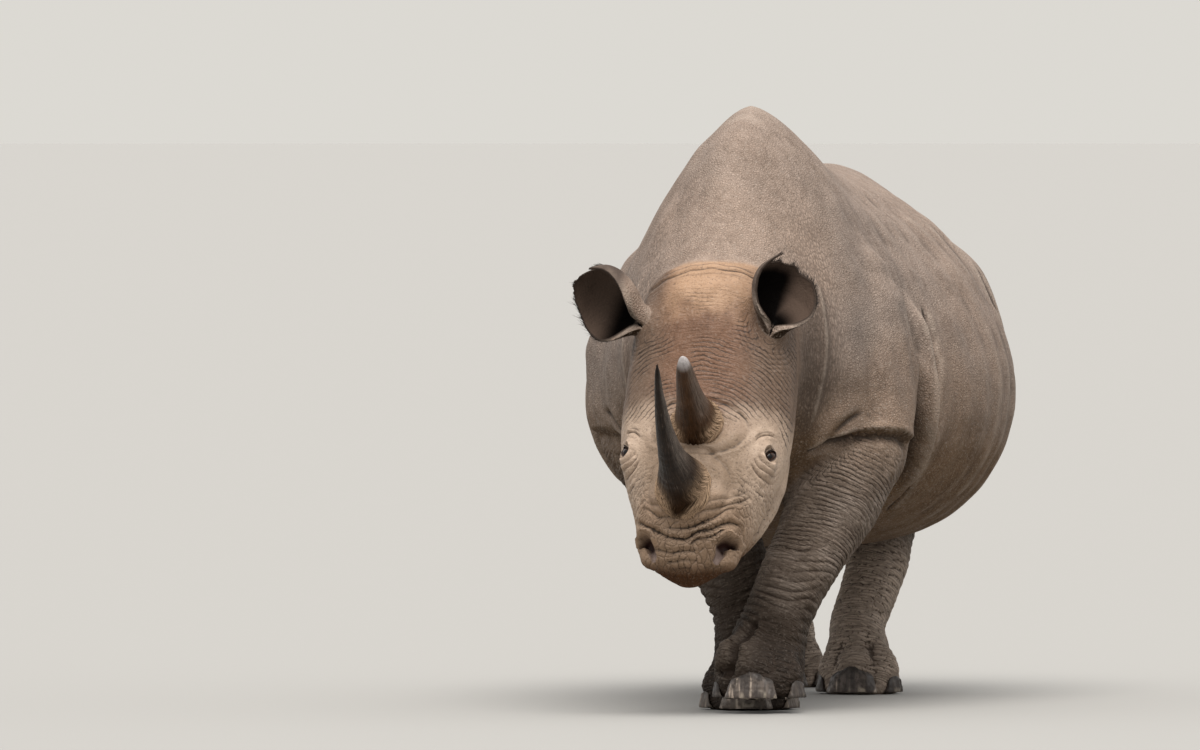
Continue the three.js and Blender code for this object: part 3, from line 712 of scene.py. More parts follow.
def add_flap(hide, lift, points, rise, reach, drop, width):
    """A fold that hangs over a path: raised on its upper side, undercut below."""
    path = on_skin(hide, points)
    near = near_path(hide, path, reach)
    offset, along = path_gap(shaken(hide.co[near], 0.003, 0.08, 13), path)
    gap = np.linalg.norm(offset, axis=1)
    side = np.sign(offset[:, 2]) * gap
    fade = ramp(along, 0, 0.12) * ramp(along, 1, 0.9)
    above = rise * ramp(side, -width, width) * np.exp(-np.maximum(side, 0) / (reach * 0.35))
    below = drop * bell(side + 1.4 * width, 1.6 * width)
    near_ends = ramp(gap, reach, reach * 0.5)
    lift[near] += (above - below) * fade * near_ends
    hide.data["flap"][near] = np.maximum(hide.data["flap"][near], bell(gap, 0.035))


def add_roll(hide, lift, points, rise, width, ends=0.2):
    """A long round swelling along a path."""
    path = on_skin(hide, points)
    near = near_path(hide, path, 3 * width)
    offset, along = path_gap(hide.co[near], path)
    gap = np.linalg.norm(offset, axis=1)
    lift[near] += rise * bell(gap, width) * ramp(along, 0, ends) * ramp(along, 1, 1 - ends)


def mirrored(points, back=0.0):
    return [(-x, y + back, z) for x, y, z in points]


def both_sides(points, back=0.0):
    return points, mirrored(points, back)


def fold_body(hide):
    lift = np.zeros(len(hide.co))
    hide.data["flap"] = np.zeros(len(hide.co))
    # Painted shade along creases and grooves
    hide.data["line"] = np.zeros(len(hide.co))
    for points in both_sides(ROLL_MIDDLE):
        add_roll(hide, lift, points, 0.026, 0.028)
    # The deep crease behind the shoulder takes a wide band of painted shade
    for points in both_sides(BEHIND_SHOULDER):
        add_crease(hide, lift, points, 0.016, 0.036, roll=0.009, reach=0.08, ends=0.15, dirt_and_shade=1.1)
    for points in both_sides(ROLL_EDGE):
        add_crease(hide, lift, points, 0.009, 0.015, roll=0.004, reach=0.05, ends=0.08)
    for points in both_sides(NECK_EDGE):
        add_roll(hide, lift, points, 0.008, 0.014)
    for points in both_sides(FLANK_EDGE):
        add_crease(hide, lift, points, 0.008, 0.005, roll=0.004, reach=0.04)
    for points in both_sides(SHOULDER_TOP, RIGHT_LEG_BACK):
        add_crease(hide, lift, points, 0.010, 0.006, roll=0.004, reach=0.05, ends=0.3, wander=0.001)
    add_flap(hide, lift, SHOULDER_LOW, 0.024, 0.11, 0.016, 0.010)
    add_flap(hide, lift, mirrored(SHOULDER_LOW, RIGHT_LEG_BACK), 0.008, 0.12, 0.006, 0.014)
    # Painted shade along the toe's edge, where it hangs over the nail
    add_crease(hide, lift, TOE_EDGE, 0.009, 0.024, roll=0.005, reach=0.05, ends=0.12, dirt_and_shade=0.9)
    lobe = np.linalg.norm((hide.co - TOE_LOBE) / (1.0, 1.2, 1.4), axis=1)
    hide.data["lobe"] = bell(lobe, 0.045) * hide.data["foreleg_left"]
    lift += 0.048 * bell(lobe, 0.038) * hide.data["foreleg_left"]
    trunk = 1 - np.clip(sum(hide.data[k] for k in ("head", "shin", "foot")), 0, 1)
    soft = 0.004 * noise(hide.co, 0.16, 21) + 0.002 * noise(hide.co, 0.06, 22)
    side = ramp(np.abs(hide.co[:, 0]), 0.15, 0.35)
    ribs = np.sin(2 * math.pi * hide.co[:, 1] / RIB_SPACING + 1.2 * noise(hide.co, 0.25, 23))
    lift += trunk * (soft + 0.0022 * side * ribs)
    hide.push(lift)


# ---------- the head ----------
def groove(gap, depth, width, swell=0.45):
    """A groove's height across it: sharp at the bottom, with a soft swelling on each side."""
    return depth * (swell * bell(gap - 3 * width, 1.7 * width) - np.exp(-((gap / width) ** 1.3)))


def face_grooves(hide, table, width, floor=-0.02):
    """Grooves drawn on the face, as seen straight onto the forehead."""
    local = in_head(hide.co)
    lift = np.zeros(len(hide.co))
    top = hide.data["face_up"]
    for depth, points in table:
        path = curve_through([(x, along, 0) for x, along in points])
        near = np.flatnonzero((local[:, 2] > floor) & (local[:, 1] > path[:, 1].min() - 0.03)
                              & (local[:, 1] < path[:, 1].max() + 0.03) & (top > 0.05))
        flat = local[near] * (1, 1, 0)
        flat[:, :2] += 0.0035 * np.stack([noise(local[near], 0.03, 31 + k) for k in (0, 1)], 1)
        offset, along = path_gap(flat, path)
        gap = np.linalg.norm(offset, axis=1)
        fade = ramp(along, 0, 0.12) * ramp(along, 1, 0.88)
        vary = 0.8 + 0.3 * noise(local[near], 0.05, 33)
        drawn = fade * vary * ramp(top[near], 0.05, 0.3)
        lift[near] += groove(gap, depth, width) * drawn
        # Painted shade along the bottom of each groove
        line = hide.data.setdefault("line", np.zeros(len(hide.co)))
        line[near] = np.maximum(line[near], 0.7 * bell(gap, LINE_WIDTH) * drawn * min(1, depth / 0.004))
    hide.push(lift)


def shape_horn_bases(hide):
    """The skin rises to each horn and folds in a ring round it."""
    local = in_head(hide.co)
    lift = np.zeros(len(hide.co))
    for x, along, wide, deep in HORN_BASES:
        out = np.hypot((local[:, 0] - x) / wide, (local[:, 1] - along) / deep)
        top = ramp(local[:, 2], 0.0, 0.06) * ramp(out, 2.2, 1.6)
        wavy = out + 0.06 * noise(hide.co, 0.03, 41)
        lift += top * (0.007 * bell(wavy - 0.95, 0.22) - 0.003 * bell(wavy - 1.28, 0.09)
                       + 0.002 * bell(wavy - 1.42, 0.1))
    hide.push(lift)


def shape_nostrils(hide):
    local = in_head(hide.co)
    shift = np.zeros_like(local)
    for side in (1, -1):
        spot = np.stack([local[:, 0] * side, local[:, 1], np.zeros(len(local))], 1)
        spot[:, :2] += 0.003 * np.stack([noise(local, 0.02, 51 + k) for k in (0, 1)], 1)
        path = curve_through([(x, down, 0) for x, down in NOSTRIL])
        offset, along = path_gap(spot, path)
        gap = np.linalg.norm(offset, axis=1)
        radius = 0.0110 - 0.0045 * np.abs(along - 0.35) / 0.65
        facing = ramp(local[:, 2], -0.03, 0.0) * (local[:, 0] * side > 0)
        hole = ramp(gap, radius * 1.25, radius * 0.55) * facing
        deep = 0.026 - 0.019 * along
        above = ramp(spot[:, 1], 0.668, 0.64) * ramp(gap, 0.034, 0.015)
        rim = (0.015 * above + 0.003) * bell(gap - radius * 1.8, 0.010) * facing
        amount = rim - deep * hole
        inward = np.array([0.5 * side, -0.12, 0.85])
        shift += amount[:, None] * unit(inward)
        hide.data["nostril"] = np.maximum(hide.data.get("nostril", 0), hole)
        hide.data["inner_nostril"] = np.maximum(
            hide.data.get("inner_nostril", 0), hole * ramp(along, 0.42, 0.62))
    shift[:, 1] *= -1
    hide.co = hide.co + shift @ HEAD_AXES.T


def shape_eyes(hide):
    """Lids over each eyeball, parted by a slit, and the rings of loose skin below and above."""
    radius = ball_radius("eye_left")
    hide.data["lid"] = np.zeros(len(hide.co))
    for centre, out, down, brow in EYES:
        near = np.flatnonzero(np.linalg.norm(hide.co - centre, axis=1) < 0.13)
        rel = hide.co[near] - centre
        h, u, v = rel @ out, rel @ down, rel @ brow
        outer = ramp(h, -0.035, 0.0)
        reach = np.hypot(u, v)
        angle = np.degrees(np.arctan2(v, u)) % 360
        lift = np.zeros(len(near))
        for ring, first, last, depth in EYE_RINGS:
            inside = (angle - first) % 360
            span = last - first
            fade = ramp(inside, 0, 22) * ramp(inside, span, span - 22) * (inside < span)
            wavy = reach + 0.002 * noise(hide.co[near], 0.022, int(ring * 1000))
            lift += groove(np.abs(wavy - ring), depth, 0.0028, 0.6) * fade
            # Painted shade along each ring's groove
            drawn = 0.35 * bell(wavy - ring, LINE_WIDTH) * fade * outer
            hide.data["line"][near] = np.maximum(hide.data["line"][near], drawn)
        p = u * math.cos(SLIT_TURN) + v * math.sin(SLIT_TURN)
        q = v * math.cos(SLIT_TURN) - u * math.sin(SLIT_TURN)
        arch = np.maximum(1 - (p / SLIT_LENGTH) ** 2, 0) ** 0.75
        half = np.where(q > 0, SLIT_UPPER, SLIT_LOWER) * arch
        edge = np.hypot(np.abs(q) - half, np.maximum(np.abs(p) - SLIT_LENGTH, 0))
        edge = np.where(np.abs(q) < half, -edge, edge)
        hood = np.where(q > 0, 0.0022, 0.0)
        thick = LID_EDGE + hood + (LID_THICKNESS - LID_EDGE) * ramp(edge, 0.0, 0.009)
        lid = np.sqrt(np.maximum((radius + thick) ** 2 - reach**2, 0))
        settle = ramp(reach, radius * 1.15, radius * 0.8) * outer
        lift += 0.0055 * bell(np.hypot(p / 1.4, q - 0.024), 0.015)
        h_new = h + lift * outer
        h_new += (lid - h_new) * settle
        ball = np.sqrt(np.maximum(radius**2 - reach**2, 0)) - 0.003
        opened = ramp(edge, 0.0006, -0.0010) * outer
        rim = 0.0010 * bell(edge - 0.0020, 0.0016) * settle
        h_new = h_new + rim
        h_new += (ball - h_new) * opened
        hide.co[near] += (h_new - h)[:, None] * out
        hide.data["lid"][near] = np.maximum(ramp(edge, 0.006, 0.001) * outer, opened)


def cut_cells(lift, weight, q, depth, seed, sharp=0.16):
    """Grooves along the borders of cells, as deep as the weight says."""
    near = np.flatnonzero(weight > 0.02)
    border = cell_borders(q[near], seed)
    lift[near] -= weight[near] * depth * np.exp(-border / sharp)


def wrinkle_face(hide, local, lift):
    """Crossing wrinkles on the cheeks and the nose."""
    d = hide.data
    cheek = d["head"] * ramp(local[:, 1], 0.44, 0.52) * ramp(np.abs(local[:, 0]), 0.085, 0.125)
    cheek *= ramp(local[:, 1], 0.70, 0.66) * (1 - d["nostril"])
    slant = local[:, 1] + 0.5 * local[:, 2]
    slant = slant + 0.006 * noise(hide.co, 0.03, 60)
    q = np.stack([slant / 0.011, (local[:, 2] - 0.5 * local[:, 1]) / 0.032, local[:, 0] / 0.04], 1)
    cut_cells(lift, cheek, q, 0.0026, 61)
    nose = d["head"] * ramp(local[:, 1], 0.585, 0.625) * ramp(np.abs(local[:, 0]), 0.115, 0.085)
    nose *= (1 - d["nostril"]) * ramp(local[:, 2], -0.06, 0.0)
    q = np.stack([local[:, 0] / 0.017, slant / 0.0125, local[:, 2] / 0.03], 1)
    cut_cells(lift, nose, q, 0.0030, 66, 0.13)


def wrinkle_leg(hide, leg, lift, phases):
    """Rings round one leg, broad near the wrist, with a net between them; gives how strong they are."""
    co = hide.co
    d = hide.data
    run = leg_run(co, leg)
    mine = d[leg] * (1 - d["foot"])
    near_wrist = bell(run, 0.16)
    wander = 0.016 * noise(co, 0.14, 71) + 0.006 * noise(co, 0.045, 72)
    across = co[:, 0] - leg_centre(f"{leg}_lower")[0]
    phase = run + wander + 4.5 * near_wrist * across**2
    wave = np.abs(np.sin(math.pi * phase / WRINKLE)) ** 0.5
    broad = np.abs(np.sin(math.pi * (phase + 0.006 * noise(co, 0.09, 73)) / 0.024)) ** 0.6
    fine = ramp(near_wrist, 0.75, 0.25)
    patch = np.clip(0.60 + 0.85 * noise(co, 0.06, 74), 0.15, 1.3)
    depth = mine * patch * ramp(run, -0.62, -0.40) * (1.0 if "fore" in leg else 0.4)
    depth *= 1 - np.clip(1.6 * d["flap"], 0, 1)
    phases += d[leg] * phase / WRINKLE
    lift += depth * (0.0034 * fine * (wave - 1) + 0.0085 * near_wrist * (broad - 1))
    q = np.stack([phase / 0.018, co[:, 0] / 0.035, co[:, 1] / 0.035], 1)
    cut_cells(lift, np.clip(mine * 1.1 - depth * 0.4, 0, 1) * ramp(run, -0.62, -0.40), q, 0.0026, 75)
    return depth * (0.35 + 0.65 * fine)


def wrinkle_brow(hide, local, lift, phases):
    """Arcs across the brow; gives where they are."""
    co = hide.co
    brow = ramp(local[:, 1], 0.42, 0.33) * ramp(local[:, 1], -0.03, 0.06) * ramp(local[:, 2], -0.04, 0.02)
    brow *= hide.data["head"] * np.clip(0.55 + 0.9 * noise(co, 0.05, 78), 0.1, 1.2)
    arc = np.hypot(local[:, 0] * 0.9, local[:, 1] - 0.46)
    arc = arc + 0.010 * noise(co, 0.10, 76) + 0.0045 * noise(co, 0.035, 77)
    lift += 0.0016 * brow * (np.abs(np.sin(math.pi * arc / BROW_WRINKLE)) ** 0.5 - 1)
    phases += hide.data["head"] * arc / BROW_WRINKLE
    return brow


def net_of_wrinkles(hide):
    """Fine wrinkles on cheeks, nose, brow, legs and feet, deep enough to be real shape."""
    co = hide.co
    d = hide.data
    local = in_head(co)
    lift = np.zeros(len(co))
    phases = np.zeros(len(co))
    wrinkled = np.zeros(len(co))
    wrinkle_face(hide, local, lift)
    foot = d["foot"] * ramp(co[:, 2], 0.03, 0.06)
    cut_cells(lift, foot, shaken(co, 0.006, 0.06, 62) / (0.028, 0.028, 0.012), 0.0030, 65)
    for leg in LEGS:
        wrinkled = np.maximum(wrinkled, wrinkle_leg(hide, leg, lift, phases))
    brow = wrinkle_brow(hide, local, lift, phases)
    d["phase"] = phases
    d["wrinkled"] = np.maximum(wrinkled, brow)
    hide.push(lift)


def shape_toes(hide):
    """Each foot swells over its nails and draws in between them."""
    lift = np.zeros(len(hide.co))
    for leg in LEGS:
        middle = leg_centre(f"{leg}_foot")
        flat = hide.co[:, :2] - middle[:2]
        turn = np.arctan2(flat[:, 1], flat[:, 0])
        toes = np.zeros(len(hide.co))
        swell = np.zeros(len(hide.co))
        for nail in NAILS:
            spot = box_centre(f"{leg}_nail_{nail}") - middle
            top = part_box(f"{leg}_nail_{nail}")[1].z
            apart = (turn - math.atan2(spot[1], spot[0]) + math.pi) % (2 * math.pi) - math.pi
            toe = bell(apart, math.radians(27))
            toes = np.maximum(toes, toe)
            swell = np.maximum(swell, toe * ramp(hide.co[:, 2], top - 0.022, top + 0.012))
        ahead = ramp(flat @ unit(box_centre(f"{leg}_nail_middle")[:2] - middle[:2]), -0.06, 0.02)
        low = ramp(hide.co[:, 2] - middle[2], 0.10, 0.0) * ramp(hide.co[:, 2], 0.0, 0.03)
        shape = 0.013 * swell - 0.018 * (1 - toes)
        lift += hide.data[leg] * hide.data["foot"] * low * ahead * shape
    hide.push(lift)


def leg_centre(node):
    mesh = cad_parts[node].data
    return np.mean([v.co for v in mesh.vertices], axis=0)


def leg_run(points, leg):
    """Distance down a leg from its wrist or hock, negative above it."""
    upper, lower, foot = (leg_centre(f"{leg}_{part}") for part in LEG_PARTS)
    above = (points - lower) @ unit(lower - upper)
    below = (points - lower) @ unit(foot - lower)
    share = ramp((above + below) / 2, -0.12, 0.12)
    return above * (1 - share) + below * share


# ---------- ears ----------
def sample(table, share):
    """Values between the rows of an even table, for shares from 0 to 1, on a smooth curve."""
    rows = np.array(table, float).reshape(len(table), -1)
    spot = np.clip(np.asarray(share, float), 0, 1) * (len(rows) - 1)
    i = np.minimum(spot.astype(int), len(rows) - 2)
    t = (spot - i)[..., None]
    p = [rows[np.clip(i + k, 0, len(rows) - 1)] for k in (-1, 0, 1, 2)]
    value = p[1] + t / 2 * (p[2] - p[0] + t * (2 * p[0] - 5 * p[1] + 4 * p[2] - p[3]
                                               + t * (3 * (p[1] - p[2]) + p[3] - p[0])))
    return value[..., 0] if rows.shape[1] == 1 else value


def ear_placement(side, span, along, lean, turn):
    turned = (Matrix.Rotation(math.radians(EAR_NOD), 3, "X")
              @ Matrix.Rotation(math.radians(side * lean), 3, "Y")
              @ Matrix.Rotation(math.radians(side * turn), 3, "Z"))
    return np.array(turned), from_head([(side * span, along, EAR_RISE)])[0]


def ear_wall(u):
    return EAR_RIM + EAR_ROOT * np.clip(1 - u / 0.38, 0, 1) + 0.004 * np.clip(1 - u, 0, 1)


def ear_sheet(side, spread, reach, share, column, inside):
    """Points of one face of an ear, in its own frame."""
    edge = sample(reach, column)
    seed = np.stack([column * 9.0, np.full_like(column, side * 2.0), column * 0], -1).reshape(-1, 3)
    ragged = 0.014 * noise(seed, 0.35, 81) + 0.008 * noise(seed, 0.12, 82)
    edge = edge + (ragged * ramp(edge.ravel(), 0.62, 0.75)).reshape(edge.shape)
    u = share * edge
    shell = sample(EAR_SHELL, u)
    full = shell[..., 0] * spread
    radius = full - inside * np.minimum(ear_wall(u), full - 0.005)
    angle = np.radians(shell[..., 1]) * (2 * column - 1)
    curl = 1 - 0.10 * ramp(np.abs(2 * column - 1), 0.8, 1.0) * ramp(u, 0.3, 0.6)
    radius = radius * curl
    deep = np.cos(angle) * np.where(np.cos(angle) > 0, EAR_BACK_DEPTH, EAR_FRONT_DEPTH)
    return np.stack([side * radius * np.sin(angle), radius * deep, u * EAR_LENGTH], -1)


def clear_ears(hide):
    """The skin inside an ear's cup sinks to the bottom of the cup."""
    for name in ("ear", "ear_lining", "ear_pit"):
        hide.data[name] = np.zeros(len(hide.co))
    for side, span, along, lean, turn, spread, _ in EARS_SET:
        turned, foot = ear_placement(side, span, along, lean, turn)
        near = np.flatnonzero(np.linalg.norm(hide.co - foot, axis=1) < EAR_LENGTH)
        local = (hide.co[near] - foot) @ turned
        u = np.clip(local[:, 2] / EAR_LENGTH, 0, 1)
        depth = np.where(local[:, 1] > 0, EAR_BACK_DEPTH, EAR_FRONT_DEPTH)
        out = np.hypot(local[:, 0], local[:, 1] / depth)
        room = sample(EAR_SHELL, u)[:, 0] * spread - 0.6 * ear_wall(u) - out
        sunk = ramp(room, 0, 0.006) * (local[:, 2] > EAR_FLOOR)
        hidden = ramp(sample(EAR_SHELL, u)[:, 0] * spread - out, -0.004, 0.006)
        hidden = hidden * ramp(local[:, 2], -0.02, 0.0)
        # The skin left inside the cup takes the ear's tones and its painted shade
        for name in ("ear", "ear_lining", "ear_pit"):
            hide.data[name][near] = np.maximum(hide.data[name][near], hidden)
        local[:, 2] += (EAR_FLOOR - local[:, 2]) * sunk
        hide.co[near] = local @ turned.T + foot


def ear_quads(width):
    """The quads round the ear's two walls, along its rim and across its root."""
    i, j = np.meshgrid(np.arange(EAR_ROWS), np.arange(width), indexing="ij")
    k = (j + 1) % width
    around = np.stack([i * width + j, i * width + k, (i + 1) * width + k, (i + 1) * width + j], -1)
    j = np.arange(EAR_COLUMNS)
    back = width - 1 - j
    last = EAR_ROWS * width
    rim = np.stack([last + j, last + j + 1, last + back - 1, last + back], -1)
    root = np.stack([j, back, back - 1, j + 1], -1)
    return np.concatenate([around.reshape(-1, 4), rim, root])


def ear_mesh(side, span, along, lean, turn, spread, reach):
    rows = np.linspace(0, 1, EAR_ROWS + 1)[:, None] * np.ones(EAR_COLUMNS + 1)
    columns = np.ones(EAR_ROWS + 1)[:, None] * np.linspace(0, 1, EAR_COLUMNS + 1)
    outer = ear_sheet(side, spread, reach, rows, columns, 0)
    inner = ear_sheet(side, spread, reach, rows, columns, 1)
    turned, foot = ear_placement(side, span, along, lean, turn)
    ring = np.concatenate([outer, inner[:, ::-1]], 1)
    co = ring.reshape(-1, 3) @ turned.T + foot
    quads = ear_quads(ring.shape[1])
    if side > 0:
        quads = quads[:, ::-1]
    hide = Hide(co, quads)
    lined = np.concatenate([np.zeros_like(rows), np.ones_like(rows)], 1)
    depth = np.concatenate([rows, rows[:, ::-1]], 1)
    across = np.concatenate([columns, columns[:, ::-1]], 1)
    up = depth * sample(reach, across)
    outside = ramp(up.ravel(), 0.25, 0.6)
    hide.data["ear"] = np.maximum(outside, lined.ravel() * ramp(depth.ravel(), 0.05, 0.2))
    hide.data["ear_lining"] = lined.ravel() * ramp(depth.ravel(), 0.1, 0.3)
    hide.data["ear_rim"] = ramp(depth.ravel(), 0.95, 1.0)
    # Painted shade: a dark stretch down the cup, and the low part of the lining
    pit = ramp(np.abs(across - EAR_PIT), 0.29, 0.10) * ramp(up, 0.80, 0.50)
    low = ramp(up, 0.62, 0.20) if side < 0 else ramp(up, 0.34, 0.12)
    hide.data["ear_pit"] = (np.maximum(pit if side > 0 else 0 * pit, low) * lined).ravel()
    return hide


def with_values(mesh, data):
    for name, value in data.items():
        kind = "FLOAT" if value.ndim == 1 else "FLOAT_VECTOR"
        layer = mesh.attributes.new(name, kind, "POINT")
        layer.data.foreach_set("value" if value.ndim == 1 else "vector",
                               np.ascontiguousarray(value, np.float32).ravel())
    return mesh


def values_of(mesh, name):
    layer = mesh.attributes[name]
    wide = layer.data_type == "FLOAT_VECTOR"
    return read(layer.data, "vector" if wide else "value", np.float32, 3 if wide else 1).astype(float)


def joined_with_ears(hide):
    """One mesh of the skin and both ears."""
    names = set(hide.data)
    ears = [ear_mesh(*row) for row in EARS_SET]
    names |= set(ears[0].data)
    for part in (hide, *ears):
        for name in names:
            part.data.setdefault(name, np.zeros(len(part.co)))
    skin = place("skin", with_values(hide.mesh("skin"), hide.data))
    others = [place("ear", with_values(ear.mesh("ear"), ear.data)) for ear in ears]
    for other in others:
        change = skin.modifiers.new("ear", "BOOLEAN")
        change.operation = "UNION"
        change.solver = "MANIFOLD"
        change.object = other
    scene_now = bpy.context.evaluated_depsgraph_get()
    done = bpy.data.meshes.new_from_object(skin.evaluated_get(scene_now))
    skin.modifiers.clear()
    skin.data = done
    for other in others:
        bpy.data.objects.remove(other)
    return skin


class Surface:
    """Any mesh as points and edges, for smoothing and for values per point."""

    def __init__(self, mesh):
        self.mesh = mesh
        self.co = read(mesh.vertices, "co", np.float32, 3).astype(float)
        self.pair = read(mesh.edges, "vertices", np.int32, 2).astype(int)

    def edges(self):
        return self.pair[:, 0], self.pair[:, 1]

    relaxed = Hide.relaxed

    def normals(self):
        self.mesh.vertices.foreach_set("co", self.co.astype(np.float32).ravel())
        self.mesh.update()
        return read(self.mesh.vertex_normals, "vector", np.float32, 3).astype(float)


def finish_skin(skin):
    """Blend the ears' roots in, fold the skin round them, and store what the material needs."""
    surface = Surface(skin.data)
    co = surface.co
    local = in_head(co)
    ear = values_of(skin.data, "ear")
    root = np.full(len(co), 9.0)
    for side, span, down, *_ in EARS_SET:
        foot = from_head([(side * span, down, EAR_RISE)])[0]
        root = np.minimum(root, np.linalg.norm(co - foot, axis=1))
    lining = values_of(skin.data, "ear_lining")
    blend = ramp(root, 0.085, 0.05) * (1 - lining)
    near = blend > 0
    surface.co = surface.relaxed(co, blend * 0.9, 14)
    normal = surface.normals()
    lift = np.zeros(len(co))
    wavy = root + 0.006 * noise(co, 0.05, 91) + 0.002 * noise(co, 0.02, 92)
    rings = 0.0022 * (np.abs(np.sin(math.pi * wavy / 0.012)) ** 0.7 - 1)
    below = ramp(local[:, 1], 0.07, 0.14) * 0.8 + 0.2
    lift += rings * bell(root - 0.075, 0.035) * (1 - ear) * below
    surface.co = surface.co + normal * lift[:, None]
    note(f"ears blended {near.sum()}")
    normal = surface.normals()
    fine = surface.relaxed(surface.co, 1.0, 4)
    broad = surface.relaxed(fine, 1.0, 30)
    # How far the skin sinks below its smoothed self, finely and broadly: the material paints shade there
    data = {
        "crease": ((fine - surface.co) * normal).sum(1) / 0.0011,
        "hollow": ((broad - surface.co) * normal).sum(1) / 0.006,
        "face": in_head(surface.co),
        "up": normal[:, 2],
    }
    data["crease"] = np.clip(data["crease"], -1, 1)
    data["hollow"] = np.clip(data["hollow"], -1, 1)
    along = np.zeros(len(co))
    for leg in LEGS:
        mine = values_of(skin.data, leg)
        along += mine * leg_run(surface.co, leg)
    data["leg_grain"] = np.stack([along, surface.co[:, 0] * 0.28, surface.co[:, 1] * 0.28], 1)
    head = values_of(skin.data, "head")
    data["snout"] = head * ramp(local[:, 1], 0.50, 0.60) * ramp(np.abs(local[:, 0]), 0.17, 0.11)
    data["lip"] = head * ramp(local[:, 1] - 0.9 * local[:, 2], 0.645, 0.72)
    out = np.hypot(local[:, 0] * 0.9, local[:, 1] - 0.46)
    data["face_grain"] = np.stack([out, local[:, 0] * 0.3, local[:, 2] * 0.3], 1)
    surface.normals()
    with_values(skin.data, data)
    skin.data.polygons.foreach_set("use_smooth", np.ones(len(skin.data.polygons), bool))


# ---------- materials ----------
class Shade:
    """A material, with short calls that add its nodes."""

    def __init__(self, name):
        self.material = bpy.data.materials.new(name)
        self.material.use_nodes = True
        self.tree = self.material.node_tree
        self.shader = self.tree.nodes["Principled BSDF"]
        self.place = self.add("ShaderNodeTexCoord").outputs["Object"]

    def add(self, kind, **settings):
        node = self.tree.nodes.new(kind)
        for name, value in settings.items():
            setattr(node, name, value)
        return node

    def feed(self, socket, value):
        if isinstance(value, bpy.types.NodeSocket):
            self.tree.links.new(value, socket)
        else:
            socket.default_value = value

    def point(self, name):
        return self.add("ShaderNodeAttribute", attribute_name=name).outputs["Fac"]

    def point3(self, name):
        return self.add("ShaderNodeAttribute", attribute_name=name).outputs["Vector"]

    def sum(self, kind, a, b=0.0):
        node = self.add("ShaderNodeMath", operation=kind)
        self.feed(node.inputs[0], a)
        self.feed(node.inputs[1], b)
        return node.outputs[0]

    def times(self, a, b):
        return self.sum("MULTIPLY", a, b)

    def plus(self, *parts):
        total = parts[0]
        for part in parts[1:]:
            total = self.sum("ADD", total, part)
        return total

    def vector(self, kind, a, b):
        node = self.add("ShaderNodeVectorMath", operation=kind)
        self.feed(node.inputs[0], a)
        self.feed(node.inputs[1], b)
        return node.outputs[0]

    def span(self, value, low, high, first=0.0, last=1.0):
        """The value mapped smoothly from low..high to first..last."""
        node = self.add("ShaderNodeMapRange", interpolation_type="SMOOTHSTEP")
        for socket, number in zip(node.inputs, (value, low, high, first, last)):
            self.feed(socket, number)
        return node.outputs[0]

    def mix(self, share, a, b, blend="MIX"):
        node = self.add("ShaderNodeMix", data_type="RGBA", blend_type=blend)
        for index, value in ((0, share), (6, a), (7, b)):
            if isinstance(value, tuple):
                value = (*value, 1)
            self.feed(node.inputs[index], value)
        return node.outputs[2]

    def parts(self, vector):
        node = self.add("ShaderNodeSeparateXYZ")
        self.feed(node.inputs[0], vector)
        return node.outputs

    def noise(self, size, detail=3.0, at=None, rough=0.55):
        node = self.add("ShaderNodeTexNoise")
        self.feed(node.inputs["Vector"], at or self.place)
        self.feed(node.inputs["Scale"], 1 / size)
        self.feed(node.inputs["Detail"], detail)
        self.feed(node.inputs["Roughness"], rough)
        return node.outputs["Fac"]

    def shaken(self, at, size, amount):
        """The same place, wandering by up to the amount."""
        node = self.add("ShaderNodeTexNoise")
        self.feed(node.inputs["Vector"], at)
        self.feed(node.inputs["Scale"], 1 / size)
        centred = self.vector("SUBTRACT", node.outputs["Color"], (0.5, 0.5, 0.5))
        return self.vector("ADD", at, self.vector("MULTIPLY", centred, (amount,) * 3))

    def borders(self, size, at=None):
        """0 on the borders between cells of the given size, about 0.5 inside them."""
        node = self.add("ShaderNodeTexVoronoi", feature="DISTANCE_TO_EDGE")
        self.feed(node.inputs["Vector"], at or self.place)
        self.feed(node.inputs["Scale"], 1 / size)
        return node.outputs["Distance"]

    def finish(self, colour, roughness, height=None):
        self.feed(self.shader.inputs["Base Color"], colour)
        self.feed(self.shader.inputs["Roughness"], roughness)
        if height is not None:
            bump = self.add("ShaderNodeBump")
            bump.inputs["Distance"].default_value = 1.0
            self.feed(bump.inputs["Height"], height)
            self.feed(self.shader.inputs["Normal"], bump.outputs["Normal"])
        return self.material


def hide_regions(s):
    """What the colours and the relief share: the regions, places and noises."""
    s.head, s.neck = s.point("head"), s.point("neck")
    shin, s.foot, thigh = s.point("shin"), s.point("foot"), s.point("thigh")
    s.ear, s.lining, s.rim = s.point("ear"), s.point("ear_lining"), s.point("ear_rim")
    s.crease, s.hollow, s.up = s.point("crease"), s.point("hollow"), s.point("up")
    face = s.parts(s.point3("face"))
    s.off, s.along = face["X"], face["Y"]
    s.spot = s.parts(s.place)
    s.leg = s.sum("MINIMUM", s.plus(shin, s.foot, s.times(thigh, s.span(s.spot["Z"], 0.72, 0.5))), 1.0)
    s.broad, s.middle = s.noise(0.45, 2), s.noise(0.09, 4)
    s.small, s.speck = s.noise(0.022, 3), s.noise(0.006, 2)


